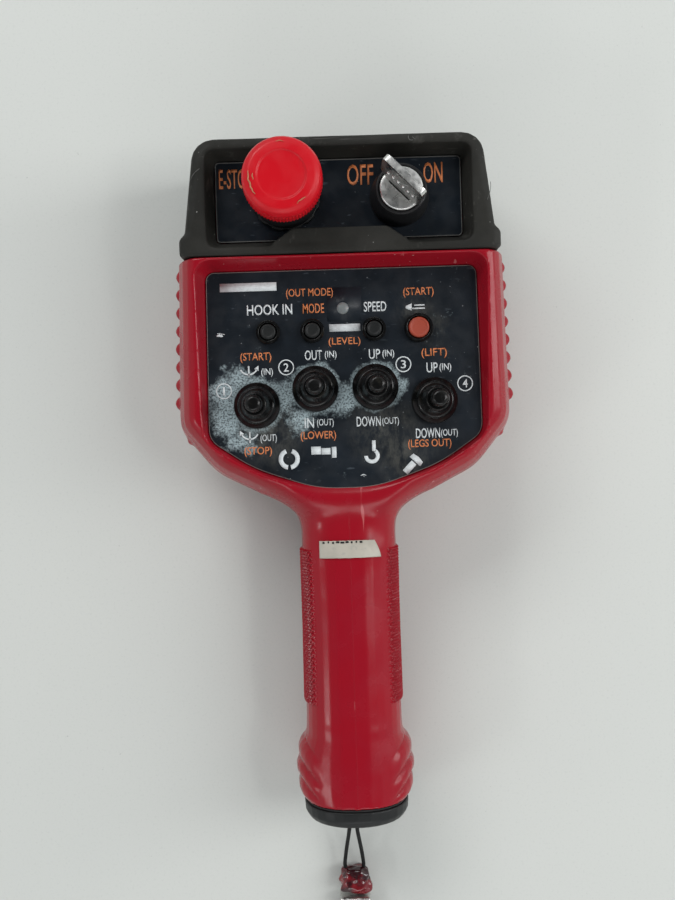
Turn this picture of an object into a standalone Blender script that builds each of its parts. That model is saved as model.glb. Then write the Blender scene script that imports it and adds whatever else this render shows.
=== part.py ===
"""Hand-held radio remote for a small crane: a pistol-shaped control station lying on its back.

Frame: +Z out of the front panel, +Y from the handle towards the head, +X to the right of the panel.
The origin is under the middle of the body, on the surface that it lies on.
Every dimension below is in millimetres, and MM turns it into metres where a mesh is made.
"""

import math

import bmesh
import bpy
from mathutils import Matrix, Vector

MM = 0.001
GAP = 0.3  # left between pieces that touch on the real object

# Overall lengths along Y
HOOD_END_Y = 140.5
HEAD_END_Y = 93.0
HANDLE_END_Y = -131.7
CAP_END_Y = -140.5

# Heights along Z
FRONT_Z = 64.0  # lip of the hood
PANEL_Z = 52.0  # face of the control panel
PANEL_THICK = 1.5
DECK_TOP_Z = PANEL_Z - PANEL_THICK - GAP
DECK_UNDER_Z = DECK_TOP_Z - 2.3
COVER_Z = 4.0  # outer face of the rear cover
COVER_THICK = 3.4
SCREW_SPOTS = ((-56.0, 84.0), (56.0, 84.0), (-56.5, 34.0), (56.5, 34.0))
HEAD_BACK_Z = 8.8  # rear edge of the head's wall
HOOD_FLOOR_Z = 54.0  # face of the plate in the hood

# Head
WALL = 4.0
RIM_TOP_HIGH = 63.5  # crest of the rim beside the hood
RIM_TOP_LOW = 54.8  # crest of the rim above the handle
RIM_LOW_Y = -4.0
SIDE_RIB_COUNT = 8
SIDE_RIB_PITCH = 7.55
SIDE_RIB_FIRST_Y = 89.5
SIDE_RIB_SIZE = (1.8, 3.8, 20.0)

# Hood
HOOD_HALF_TOP = 57.6
HOOD_HALF_LOW = 62.0
COLLAR_HALF = 64.3
COLLAR_Y = 101.0
BLOCK_HALF_TOP = 52.5
BLOCK_HALF_LOW = 57.5
BLOCK_END_Y = 136.0
BLOCK_BACK_Z = 6.3

# Handle
HANDLE_HALF = 20.0
HANDLE_WALL = 2.6
HANDLE_ROUNDNESS = 2.6  # exponent of the superellipse
END_ROUNDNESS = 2.3

# Controls
BUTTON_Y = 63.7
BUTTON_XS = (-30.2, -12.3, 12.7, 30.8)
BUTTON_RADII = (3.2, 3.2, 3.2, 4.2)
BUTTON_TRAVEL = 1.2
TOGGLE_SPOTS = ((-35.6, 34.1), (-11.8, 40.2), (12.5, 40.2), (36.3, 34.1))
TOGGLE_PIVOT_Z = 51.0
TOGGLE_TIP_Z = 76.0
LED_SPOT = (0.3, 72.6)
ESTOP_SPOT = (-21.3, 117.8)
ESTOP_HEAD_RADIUS = 15.3
ESTOP_TOP_Z = 90.0
KEY_SPOT = (24.4, 116.2)
KEY_ANGLE = math.radians(-45.5)  # the bow's direction in the off position
KEY_FACE_Z = 70.0
KEY_TOP_Z = 90.0
HOLE_RADIUS = 11.0  # of the two openings in the hood's plate

# Trigger
TRIGGER_PIVOT = (3.0, 20.0)
TRIGGER_HALF = 7.0

# Battery pack
CELL_RADIUS = 7.2
CELL_LENGTH = 50.0
PACK_CENTRE_Z = 27.0
PACK_END_Y = -126.0

# Wrist strap
CORD_DIAMETER = 1.7
CORD_EXIT_XS = (-2.9, -0.85)
CORD_EXIT_Z = 27.0
KNOT_CENTRE = (-1.8, -177.6, 6.9)
KNOT_SIZE = (16.0, 13.6, 12.6)
BAND_WIDTH = 13.0
BAND_THICK = 1.6
BAND_START_Y = -188.2
BAND_LENGTH = 126.0
BAND_HEIGHT = 13.0
BAND_X = -1.8

parts = bpy.data.collections.new("hand_held_crane_remote")
cutters = bpy.data.collections.new("cutters")
looks = {}
ALONG_X = Matrix.Rotation(math.radians(90), 4, "Y")
ALONG_Y = Matrix.Rotation(math.radians(-90), 4, "X")
# turns an outline drawn in (y, z) so that its thickness runs along X
PROFILE_ACROSS = Matrix(((0, 0, 1, 0), (1, 0, 0, 0), (0, 1, 0, 0), (0, 0, 0, 1)))


def clear_scene():
    for obj in list(bpy.data.objects):
        bpy.data.objects.remove(obj, do_unlink=True)


def make_looks():
    """The finishes: base colour, roughness, metallic."""
    palette = {
        "red_plastic": ((0.38, 0.012, 0.025), 0.35, 0.0),
        "red_mushroom": ((0.62, 0.012, 0.02), 0.4, 0.0),
        "black_rubber": ((0.022, 0.022, 0.02), 0.75, 0.0),
        "panel_blue": ((0.012, 0.02, 0.032), 0.4, 0.0),
        "black_plastic": ((0.012, 0.012, 0.013), 0.45, 0.0),
        "grey_cap": ((0.035, 0.035, 0.037), 0.55, 0.0),
        "orange_plastic": ((0.55, 0.1, 0.03), 0.4, 0.0),
        "lens_white": ((0.6, 0.6, 0.58), 0.25, 0.0),
        "steel": ((0.62, 0.62, 0.6), 0.3, 1.0),
        "green_board": ((0.01, 0.12, 0.05), 0.5, 0.0),
        "battery_wrap": ((0.05, 0.05, 0.06), 0.35, 0.0),
        "white_tape": ((0.72, 0.72, 0.7), 0.6, 0.0),
        "black_cord": ((0.012, 0.012, 0.012), 0.9, 0.0),
        "red_sleeve": ((0.3, 0.012, 0.018), 0.35, 0.0),
        "brown_band": ((0.05, 0.012, 0.012), 0.9, 0.0),
    }
    for name, (colour, roughness, metallic) in palette.items():
        look = bpy.data.materials.new(name)
        look.use_nodes = True
        shader = look.node_tree.nodes["Principled BSDF"]
        shader.inputs["Base Color"].default_value = (*colour, 1.0)
        shader.inputs["Roughness"].default_value = roughness
        shader.inputs["Metallic"].default_value = metallic
        looks[name] = look


# ---------------------------------------------------------------- building blocks


def place(name, data, at, look):
    """An object at a place given in millimetres. Without a look it is a cutter."""
    obj = bpy.data.objects.new(name, data)
    obj.location = Vector(at) * MM
    if look is None:
        cutters.objects.link(obj)
        obj.hide_render = True
        obj.display_type = "WIRE"
    else:
        parts.objects.link(obj)
        data.materials.append(looks[look])
    return obj


def mesh_from(bm, name):
    bmesh.ops.recalc_face_normals(bm, faces=bm.faces)
    mesh = bpy.data.meshes.new(name)
    bm.to_mesh(mesh)
    bm.free()
    return mesh


def smooth(obj, angle=35):
    obj.data.shade_smooth()
    obj.data.set_sharp_from_angle(angle=math.radians(angle))
    return obj


def bevel(obj, width, segments=2, angle=40):
    edge = obj.modifiers.new("rounded_edges", "BEVEL")
    edge.width = width * MM
    edge.segments = segments
    edge.limit_method = "ANGLE"
    edge.angle_limit = math.radians(angle)
    return obj


def combine(obj, other, operation):
    step = obj.modifiers.new(other.name, "BOOLEAN")
    step.operation = operation
    step.solver = "EXACT"
    step.object = other
    return obj


def block(name, low, high, look, at=(0, 0, 0)):
    """A box between two corners, which are counted from the object's own origin."""
    size = [b - a for a, b in zip(low, high)]
    middle = [(a + b) / 2 for a, b in zip(low, high)]
    bm = bmesh.new()
    bmesh.ops.create_cube(bm, size=1.0)
    bmesh.ops.scale(bm, vec=Vector(size) * MM, verts=bm.verts)
    bmesh.ops.translate(bm, vec=Vector(middle) * MM, verts=bm.verts)
    return place(name, mesh_from(bm, name), at, look)


def rods(name, spots, look, at=(0, 0, 0), turn=None, segments=32):
    """Cylinders along Z, each given as (x, y, radius, low z, high z)."""
    bm = bmesh.new()
    for x, y, radius, low, high in spots:
        made = bmesh.ops.create_cone(
            bm,
            cap_ends=True,
            segments=segments,
            radius1=radius * MM,
            radius2=radius * MM,
            depth=(high - low) * MM,
        )
        middle = Vector((x, y, (low + high) / 2)) * MM
        bmesh.ops.translate(bm, vec=middle, verts=made["verts"])
    if turn is not None:
        bmesh.ops.transform(bm, matrix=turn, verts=bm.verts)
    return smooth(place(name, mesh_from(bm, name), at, look))


def turned(name, profile, look, at, steps=32, ring=False):
    """A lathe shape about Z. The profile runs (radius, z) down the outer side, top to bottom."""
    mesh = bpy.data.meshes.new(name)
    count = len(profile)
    edges = [(i, i + 1) for i in range(count - 1)]
    if ring:
        edges.append((count - 1, 0))
    mesh.from_pydata([(r * MM, 0, z * MM) for r, z in profile], edges, [])
    obj = place(name, mesh, at, look)
    lathe = obj.modifiers.new("lathe", "SCREW")
    lathe.axis = "Z"
    lathe.steps = steps
    lathe.render_steps = steps
    lathe.use_merge_vertices = True
    lathe.merge_threshold = 0.00001
    return obj


def plate(name, outlines, low_z, high_z, look):
    """A flat piece from closed outlines in XY: the first is its edge and the others are holes."""
    curve = bpy.data.curves.new(name, "CURVE")
    curve.dimensions = "2D"
    curve.fill_mode = "BOTH"
    curve.extrude = (high_z - low_z) / 2 * MM
    for outline in outlines:
        spline = curve.splines.new("POLY")
        spline.points.add(len(outline) - 1)
        for point, (x, y) in zip(spline.points, outline):
            point.co = (x * MM, y * MM, 0, 1)
        spline.use_cyclic_u = True
    obj = place(name, curve, (0, 0, (low_z + high_z) / 2), look)
    return as_mesh(obj, look)


def as_mesh(obj, look):
    """The same piece as a mesh with its caps welded, so that it can be cut."""
    bpy.context.view_layer.update()
    graph = bpy.context.evaluated_depsgraph_get()
    mesh = bpy.data.meshes.new_from_object(obj.evaluated_get(graph))
    bm = bmesh.new()
    bm.from_mesh(mesh)
    bmesh.ops.remove_doubles(bm, verts=bm.verts, dist=0.000001)
    bmesh.ops.recalc_face_normals(bm, faces=bm.faces)
    bm.to_mesh(mesh)
    bm.free()
    mesh.materials.clear()
    name, matrix = obj.name, obj.matrix_world.copy()
    bpy.data.objects.remove(obj, do_unlink=True)
    made = place(name, mesh, (0, 0, 0), look)
    made.name = name
    made.matrix_world = matrix
    return made


def loft(name, rings, look):
    """A closed body through rings of the same number of points, given in millimetres."""
    bm = bmesh.new()
    made = [[bm.verts.new(Vector(p) * MM) for p in ring] for ring in rings]
    count = len(rings[0])
    for lower, upper in zip(made, made[1:]):
        for i in range(count):
            j = (i + 1) % count
            bm.faces.new((lower[i], lower[j], upper[j], upper[i]))
    bm.faces.new(made[0])
    bm.faces.new(made[-1])
    return smooth(place(name, mesh_from(bm, name), (0, 0, 0), look))


def tube(name, route, diameter, look):
    """A round cord along a list of points in millimetres."""
    curve = bpy.data.curves.new(name, "CURVE")
    curve.dimensions = "3D"
    curve.bevel_depth = diameter / 2 * MM
    curve.bevel_resolution = 2
    curve.use_fill_caps = True
    spline = curve.splines.new("POLY")
    spline.points.add(len(route) - 1)
    for point, co in zip(spline.points, route):
        point.co = (*(Vector(co) * MM), 1)
    return place(name, curve, (0, 0, 0), look)


# ---------------------------------------------------------------- outlines


def circle(x, y, radius, segments=32):
    steps = [2 * math.pi * i / segments for i in range(segments)]
    return [(x + radius * math.cos(a), y + radius * math.sin(a)) for a in steps]


def rounded(corners, segments=4):
    """A closed outline from corners given as (x, y, radius), each turned into an arc."""
    outline = []
    for i, (x, y, radius) in enumerate(corners):
        here = Vector((x, y))
        before = (Vector(corners[i - 1][:2]) - here).normalized()
        after = (Vector(corners[(i + 1) % len(corners)][:2]) - here).normalized()
        half = before.angle(after) / 2
        if radius == 0 or half > math.radians(89):
            outline.append((x, y))
            continue
        reach = radius / math.tan(half)
        centre = here + (before + after).normalized() * radius / math.sin(half)
        start = here + before * reach - centre
        end = here + after * reach - centre
        turn = start.angle_signed(end)
        for step in range(segments + 1):
            spoke = start.copy()
            spoke.rotate(Matrix.Rotation(-turn * step / segments, 2))
            outline.append(tuple(centre + spoke))
    return outline


def mirrored(right_side):
    """Corners down the right side, from top to bottom, followed by the left side going up."""
    left = [(-x, y, r) for x, y, r in reversed(right_side)]
    return right_side + left


def inset(outline, distance, keep_above=None):
    """The outline moved inwards. Points above keep_above move in X only, so that edge stays."""
    moved = []
    for i, point in enumerate(outline):
        here = Vector(point)
        a = (here - Vector(outline[i - 1])).normalized()
        b = (Vector(outline[(i + 1) % len(outline)]) - here).normalized()
        inward_a = Vector((a.y, -a.x))
        inward_b = Vector((b.y, -b.x))
        mitre = inward_a + inward_b
        mitre = mitre * (distance / max(0.3, mitre.dot(inward_a)))
        if keep_above is not None and point[1] > keep_above:
            mitre = Vector((-math.copysign(distance, point[0]), 0))
        moved.append((point[0] + mitre.x, point[1] + mitre.y))
    return moved


def head_outline():
    right = [
        (66.8, HEAD_END_Y, 0),
        (69.0, 25.5, 14.0),
        (54.0, 7.0, 24.0),
        (26.0, -7.2, 10.0),
        (17.2, -15.0, 0),
    ]
    return rounded(mirrored(right), 7)


def cover_outline(distance, low_y):
    """The head's outline inset and closed above the handle."""
    right = [
        (66.8 - distance, HEAD_END_Y - GAP, 0),
        (69.0 - distance, 25.5, 14.0 - distance),
        (54.0 - 0.8 * distance, 7.0 + 0.7 * distance, 20.0),
        (36.0, low_y, 5.0),
    ]
    return rounded(mirrored(right))


def panel_outline():
    right = [
        (54.9, 88.6, 3.5),
        (55.6, 20.6, 8.0),
        (38.0, 8.7, 60.0),
        (12.0, -0.4, 50.0),
    ]
    return rounded(mirrored(right), 7)


def hood_outline(distance):
    right = [
        (HOOD_HALF_TOP - distance, HOOD_END_Y - distance, 8.5),
        (HOOD_HALF_LOW - distance, COLLAR_Y + 1.8, 2.0),
        (COLLAR_HALF - distance, COLLAR_Y - 0.5, 1.2),
        (COLLAR_HALF - distance, HEAD_END_Y + 1.8, 0.8),
        (COLLAR_HALF - 1.5 - distance, HEAD_END_Y + GAP, 0),
    ]
    return rounded(mirrored(right))


def block_outline(grow=0.0, low_y=HEAD_END_Y - 1):
    right = [
        (BLOCK_HALF_TOP + grow, BLOCK_END_Y + grow, 5.0),
        (BLOCK_HALF_LOW + grow, low_y, 0),
    ]
    return rounded(mirrored(right))


def rim_height(y):
    """Height of the rim's crest, falling in a straight line from the hood to the handle."""
    share = (y - RIM_LOW_Y) / (HEAD_END_Y - RIM_LOW_Y)
    return RIM_TOP_LOW + share * (RIM_TOP_HIGH - RIM_TOP_LOW)


def handle_section(y, half_width, low_z, high_z, roundness=HANDLE_ROUNDNESS, segments=32):
    """One superellipse of the handle, in the plane at y."""
    centre = (low_z + high_z) / 2
    half_depth = (high_z - low_z) / 2
    power = 2 / roundness
    ring = []
    for i in range(segments):
        angle = 2 * math.pi * i / segments
        c, s = math.cos(angle), math.sin(angle)
        x = math.copysign(abs(c) ** power, c) * half_width
        z = math.copysign(abs(s) ** power, s) * half_depth
        ring.append((x, y, centre + z))
    return ring


HANDLE_SECTIONS = (
    # y, half width, low z, high z, roundness
    (HANDLE_END_Y, 22.3, 1.6, 51.2, END_ROUNDNESS),
    (-127.0, 23.6, 0.6, 50.9, END_ROUNDNESS),
    (-118.0, 24.5, 0.2, 50.5, END_ROUNDNESS),
    (-110.5, 23.4, 1.6, 50.2, 2.35),
    (-104.0, 20.6, 4.0, 49.9, 2.5),
    (-100.8, 20.4, 4.4, 49.8),
    (-97.5, 20.3, 4.5, 49.6),
    (-60.0, HANDLE_HALF, 4.5, 49.5),
    (-46.0, HANDLE_HALF, 6.0, 49.5),
    (-33.0, HANDLE_HALF, 11.0, 49.7),
    (-20.0, HANDLE_HALF, 14.0, 50.4),
    (12.0, HANDLE_HALF, 14.5, 50.0),
)


# ---------------------------------------------------------------- casing


def head_body(name, look):
    """The head's solid: straight sides, a rounded shoulder, and a crest that falls to the handle."""
    outline = head_outline()
    levels = (
        # inset, height above the floor or, when negative, below the crest
        (2.0, HEAD_BACK_Z),
        (0.0, 11.0),
        (0.0, 39.0),
        (1.2, -12.0),
        (3.6, -5.2),
        (6.3, -1.3),
        (8.8, -0.001),
    )
    rings = []
    for distance, z in levels:
        ring = inset(outline, distance, keep_above=HEAD_END_Y - 1)
        rings.append([(x, y, z if z > 0 else rim_height(y) + z) for x, y in ring])
    return loft(name, rings, look)


def flat_loft(name, levels):
    """A cutter through outlines that each lie at one height."""
    return loft(name, [[(x, y, z) for x, y in outline] for outline, z in levels], None)


def make_housing():
    """Red moulding: the head's tray and the hollow handle in one piece."""
    housing = head_body("main_housing", "red_plastic")
    handle = loft("handle_solid", [handle_section(*s) for s in HANDLE_SECTIONS], None)
    combine(housing, handle, "UNION")
    under_hood = flat_loft(
        "under_hood_solid",
        ((block_outline(), BLOCK_BACK_Z), (block_outline(), DECK_TOP_Z + 0.6)),
    )
    combine(housing, under_hood, "UNION")

    # front of the neck, sloping from the rim to the handle
    neck = block("neck_slope", (-60, -17, 0), (60, 0, 30), None, at=(0, -1.5, 55.2))
    neck.rotation_euler.x = math.radians(17)
    combine(housing, neck, "DIFFERENCE")

    # panel recess with sloping walls
    recess = flat_loft(
        "panel_recess",
        (
            (inset(panel_outline(), -GAP), DECK_TOP_Z),
            (inset(panel_outline(), -GAP), PANEL_Z),
            (inset(panel_outline(), -4.2), FRONT_Z + 2),
        ),
    )
    combine(housing, recess, "DIFFERENCE")

    # hollow head, open at the back, hollow end under the hood, and the handle's bore
    hollow = flat_loft(
        "head_hollow",
        ((cover_outline(WALL, 7.0), 0.0), (cover_outline(WALL, 7.0), DECK_UNDER_Z)),
    )
    combine(housing, hollow, "DIFFERENCE")
    end_hollow = flat_loft(
        "end_hollow",
        (
            (inset(block_outline(low_y=86.0), 2.6), 9.2),
            (inset(block_outline(low_y=86.0), 2.6), DECK_UNDER_Z),
        ),
    )
    combine(housing, end_hollow, "DIFFERENCE")
    bore_sections = [(HANDLE_END_Y - 2, 19.7, 4.2, 48.6)]
    for y, half, low, high, *_ in HANDLE_SECTIONS[:-1]:
        bore_sections.append((y, half - HANDLE_WALL, low + HANDLE_WALL, high - HANDLE_WALL))
    bore_sections.append((11.0, HANDLE_HALF - HANDLE_WALL, 17.1, 46.5))
    bore = loft("handle_bore", [handle_section(*s) for s in bore_sections], None)
    combine(housing, bore, "DIFFERENCE")

    # pillars for the cover's screws, lugs for the trigger's pin, and the spring's seat
    for i, (x, y) in enumerate(SCREW_SPOTS):
        pillar = rods(f"pillar_{i}", [(x, y, 4.2, HEAD_BACK_Z, DECK_TOP_Z - 1)], None)
        combine(housing, pillar, "UNION")
    for side in (-1, 1):
        near, far = sorted((side * (TRIGGER_HALF + 0.4), side * (TRIGGER_HALF + 4.4)))
        lug = block(f"pin_lug_{side}", (near, -3, 15.2), (far, 9, 25), None)
        combine(housing, lug, "UNION")
    seat = block("spring_seat", (-19, -17, 27.3), (19, -5, 30), None)
    combine(housing, seat, "UNION")
    pocket = block(
        "trigger_pocket", (-TRIGGER_HALF - 0.4, -40, -5), (TRIGGER_HALF + 0.4, 8.5, 25.5), None
    )
    combine(housing, pocket, "DIFFERENCE")
    pivot_y, pivot_z = TRIGGER_PIVOT
    pin_hole = rods(
        "pin_hole", [(0, 0, 1.8, -13, 13)], None, at=(0, pivot_y, pivot_z), turn=ALONG_X
    )
    combine(housing, pin_hole, "DIFFERENCE")

    # openings through the deck, and the screws' bores
    holes = [(x, y, 6.3, 40, 60) for x, y in TOGGLE_SPOTS]
    holes += [(x, BUTTON_Y, r + 0.4, 40, 60) for x, r in zip(BUTTON_XS, BUTTON_RADII)]
    holes += [(*LED_SPOT, 3.05, 40, 60)]
    holes += [(*ESTOP_SPOT, HOLE_RADIUS, 40, 60), (*KEY_SPOT, HOLE_RADIUS, 40, 60)]
    holes += [(x, y, 1.7, 0, 22) for x, y in SCREW_SPOTS]
    combine(housing, rods("deck_holes", holes, None, segments=20), "DIFFERENCE")

    # grip ribs on the head's sides
    for side in (-1, 1):
        for i in range(SIDE_RIB_COUNT):
            y = SIDE_RIB_FIRST_Y - i * SIDE_RIB_PITCH
            half = 66.8 + (HEAD_END_Y - y) * 2.2 / (HEAD_END_Y - 29)
            wide, tall, deep = SIDE_RIB_SIZE
            rib = block(
                f"side_rib_{side}_{i}",
                (-wide / 2, -tall / 2, -deep / 2),
                (wide / 2, tall / 2, deep / 2),
                None,
                at=(side * (half - 0.1), y, 28),
            )
            combine(housing, rib, "UNION")
    return housing


def make_rear_cover():
    low, high = COVER_Z, COVER_Z + COVER_THICK
    cover = plate("rear_cover", [cover_outline(2.0, 1.8)], low, high, "red_plastic")
    bevel(cover, 0.8)
    holes = [(x, y, 1.8, low - 1, high + 1) for x, y in SCREW_SPOTS]
    sinks = [(x, y, 3.4, low - 1, low + 1.8) for x, y in SCREW_SPOTS]
    combine(cover, rods("cover_holes", holes, None, segments=16), "DIFFERENCE")
    combine(cover, rods("cover_sinks", sinks, None, segments=20), "DIFFERENCE")
    pocket = block("cover_notch", (-TRIGGER_HALF - 1, -5, 0), (TRIGGER_HALF + 1, 9, 12), None)
    combine(cover, pocket, "DIFFERENCE")
    ring = [cover_outline(2.4, 2.6), cover_outline(3.6, 5.6)]
    low_seal = high + GAP
    plate("cover_gasket", ring, low_seal, HEAD_BACK_Z - GAP, "black_rubber")
    for i, (x, y) in enumerate(SCREW_SPOTS):
        profile = [(0, 20), (1.3, 20), (1.4, 5.5), (3.0, 5.5), (3.0, 4.4), (2.5, 4.1), (0, 4.1)]
        turned(f"cover_screw_{i + 1}", profile, "steel", (x, y, 0), steps=12)


def make_hood():
    """Rubber hood around the end of the head, with a recess for the stop button and the key."""
    levels = ((2.5, 0.0), (0.6, 1.2), (0.0, 3.0), (0.0, 58.5), (0.9, 62.2), (3.0, FRONT_Z))
    rings = [[(x, y, z) for x, y in hood_outline(distance)] for distance, z in levels]
    hood = loft("top_hood", rings, "black_rubber")
    inside = flat_loft(
        "hood_inside",
        (
            (block_outline(GAP, 90.0), BLOCK_BACK_Z - GAP),
            (block_outline(GAP, 90.0), DECK_TOP_Z + 0.9),
        ),
    )
    combine(hood, inside, "DIFFERENCE")
    recess_low = rounded(mirrored([(50, 133.0, 2), (50, 99.8, 2)]))
    recess_high = rounded(mirrored([(53, 135.6, 4), (53, 96.3, 4)]))
    recess = flat_loft(
        "hood_recess",
        ((recess_low, DECK_TOP_Z), (recess_low, HOOD_FLOOR_Z), (recess_high, FRONT_Z + 0.2)),
    )
    combine(hood, recess, "DIFFERENCE")
    bar = rounded(mirrored([(19, 103.3, 1.5), (27, 97.6, 2), (27, 95.4, 0)]))
    bar_solid = flat_loft("hood_bar", ((bar, HOOD_FLOOR_Z + 0.8), (bar, FRONT_Z - 0.4)))
    combine(hood, bar_solid, "UNION")

    holes = [circle(*ESTOP_SPOT, HOLE_RADIUS), circle(*KEY_SPOT, HOLE_RADIUS)]
    floor = inset(recess_low, GAP)
    plate("hood_plate", [floor, *holes], DECK_TOP_Z + 0.9, HOOD_FLOOR_Z, "panel_blue")


def make_panel():
    holes = [circle(x, y, 6.3, 16) for x, y in TOGGLE_SPOTS]
    holes += [circle(x, BUTTON_Y, r + 0.5, 16) for x, r in zip(BUTTON_XS, BUTTON_RADII)]
    holes += [circle(*LED_SPOT, 3.2, 16)]
    plate("panel_plate", [panel_outline(), *holes], PANEL_Z - PANEL_THICK, PANEL_Z, "panel_blue")


def make_end_cap():
    """Cover of the battery bore: an outer dish with a spigot that fits the bore."""
    seam = HANDLE_END_Y - 2 * GAP - 0.6
    sections = (
        (HANDLE_END_Y + 4.2, 18.3, 5.2, 47.4),
        (seam + 0.01, 18.3, 5.2, 47.4),
        (seam, 22.3, 1.6, 51.2, END_ROUNDNESS),
        (CAP_END_Y + 3.6, 22.0, 1.9, 50.9, END_ROUNDNESS),
        (CAP_END_Y + 1.2, 20.4, 3.5, 49.3, END_ROUNDNESS),
        (CAP_END_Y, 17.8, 6.1, 46.7, END_ROUNDNESS),
    )
    cap = loft("end_cap", [handle_section(*s) for s in reversed(sections)], "grey_cap")
    clear = CORD_DIAMETER / 2 + 0.45
    left, right = CORD_EXIT_XS
    eye = block(
        "cord_eye",
        (left - clear, CAP_END_Y - 2, CORD_EXIT_Z - clear),
        (right + clear, CAP_END_Y + 3, CORD_EXIT_Z + clear),
        None,
    )
    combine(cap, eye, "DIFFERENCE")

    outer = handle_section(0, 21.6, 2.3, 50.5, END_ROUNDNESS)
    inner = handle_section(0, 18.8, 4.7, 47.9)
    shape = [[(x, z) for x, _, z in ring] for ring in (outer, inner)]
    seal = plate("cap_seal", shape, -0.3, 0.3, "black_rubber")
    seal.rotation_euler.x = math.radians(90)
    seal.location.y = (HANDLE_END_Y - GAP - 0.3) * MM


# ---------------------------------------------------------------- controls


def make_buttons():
    for i, (x, radius) in enumerate(zip(BUTTON_XS, BUTTON_RADII)):
        colour = "orange_plastic" if i == 3 else "grey_cap"
        top = 55.4
        profile = [(0, top), (radius - 0.5, top), (radius, top - 0.5), (radius, 46.6)]
        profile += [(radius + 1.4, 46.6), (radius + 1.4, 45.6), (0, 45.6)]
        pivot = top - 1.0
        local = [(r, z - pivot) for r, z in profile]
        turned(f"push_button_{i + 1}", local, colour, (x, BUTTON_Y, pivot), steps=16)
        inner, outer = radius + 0.4, radius + 1.75
        low, high = PANEL_Z + GAP, 54.9
        ring = [(outer - 0.5, high), (outer, high - 0.5), (outer, low), (inner, low), (inner, high)]
        turned(f"button_ring_{i + 1}", ring, "black_rubber", (x, BUTTON_Y, 0), 16, ring=True)
    dome = [(0, 53.6), (1.5, 53.3), (2.4, 52.4), (2.75, 51.0), (2.75, 43.4), (0, 43.4)]
    turned("status_led", dome, "lens_white", (*LED_SPOT, 0), steps=16)


def make_toggles():
    """Spring-centred levers under rubber boots."""
    pivot = TOGGLE_PIVOT_Z
    ball = 3.0
    stick = [(0, TOGGLE_TIP_Z), (2.8, TOGGLE_TIP_Z), (3.5, TOGGLE_TIP_Z - 0.8), (3.5, 68.4)]
    stick += [(2.0, 66.6), (2.0, pivot + 2.24)]
    for step in range(1, 5):
        angle = math.radians(48 - step * 34.5)
        stick.append((ball * math.cos(angle), pivot + ball * math.sin(angle)))
    stick[-1] = (0, pivot - ball)
    lever = [(r, z - pivot) for r, z in stick]
    low = PANEL_Z + GAP
    boot = [(4.75, 65.8), (4.9, 63.6), (6.1, 62.2), (5.6, 60.6), (7.3, 59.0), (6.9, 57.6)]
    boot += [(8.4, 56.0), (8.2, 55.0), (9.6, 54.4), (9.6, low), (8.2, low), (6.9, 55.0)]
    boot += [(5.5, 58.0), (4.2, 61.0), (3.4, 63.4), (2.5, 64.6), (2.5, 65.8)]
    for i, (x, y) in enumerate(TOGGLE_SPOTS):
        number = i + 1
        turned(f"toggle_lever_{number}", lever, "black_plastic", (x, y, pivot), steps=16)
        turned(f"toggle_boot_{number}", boot, "black_rubber", (x, y, 0), steps=16, ring=True)
        body = block(
            f"toggle_body_{number}",
            (-8, -9.5, 31),
            (8, 9.5, DECK_UNDER_Z - GAP),
            "black_plastic",
            at=(x, y, 0),
        )
        bevel(body, 0.8, segments=1)


def make_stop_button():
    x, y = ESTOP_SPOT
    floor = HOOD_FLOOR_Z + GAP
    collar = [(12.2, 70.0), (13.4, 69.0), (13.2, 57.4), (14.2, 57.4), (14.2, floor)]
    collar += [(10.6, floor), (10.6, 47.2), (6.5, 47.2), (6.5, 70.0)]
    ring = turned("estop_collar", collar, "black_plastic", (x, y, 0), steps=32, ring=True)
    notches = []
    for step in range(12):
        angle = math.radians(30 * step + 15)
        notches.append((14.8 * math.cos(angle), 14.8 * math.sin(angle), 1.5, 55.6, 59))
    combine(ring, rods("nut_notches", notches, None, at=(x, y, 0), segments=10), "DIFFERENCE")
    stem = [(0, 79.0), (5.6, 79.0), (6.1, 78.5), (6.1, 51.8), (0, 51.8)]
    turned("estop_plunger", [(r, z - 60) for r, z in stem], "black_plastic", (x, y, 60), steps=24)
    r = ESTOP_HEAD_RADIUS
    top = ESTOP_TOP_Z
    cap = [(0, top - 0.7), (9.0, top - 0.6), (9.7, top), (r - 2.2, top - 0.6), (r - 0.7, top - 2.2)]
    cap += [(r, top - 4.0), (r, 77.2), (r - 0.9, 76.2), (11.5, 75.2), (6.4, 75.2), (6.4, 79.3)]
    cap += [(0, 79.3)]
    local = [(radius, z - 76) for radius, z in cap]
    turned("estop_mushroom", local, "red_mushroom", (x, y, 76), steps=36)
    contacts = block("estop_contact_block", (-13, -13, 18), (13, 13, 46.9), "black_plastic", (x, y, 0))
    bevel(contacts, 1.0, segments=1)


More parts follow.
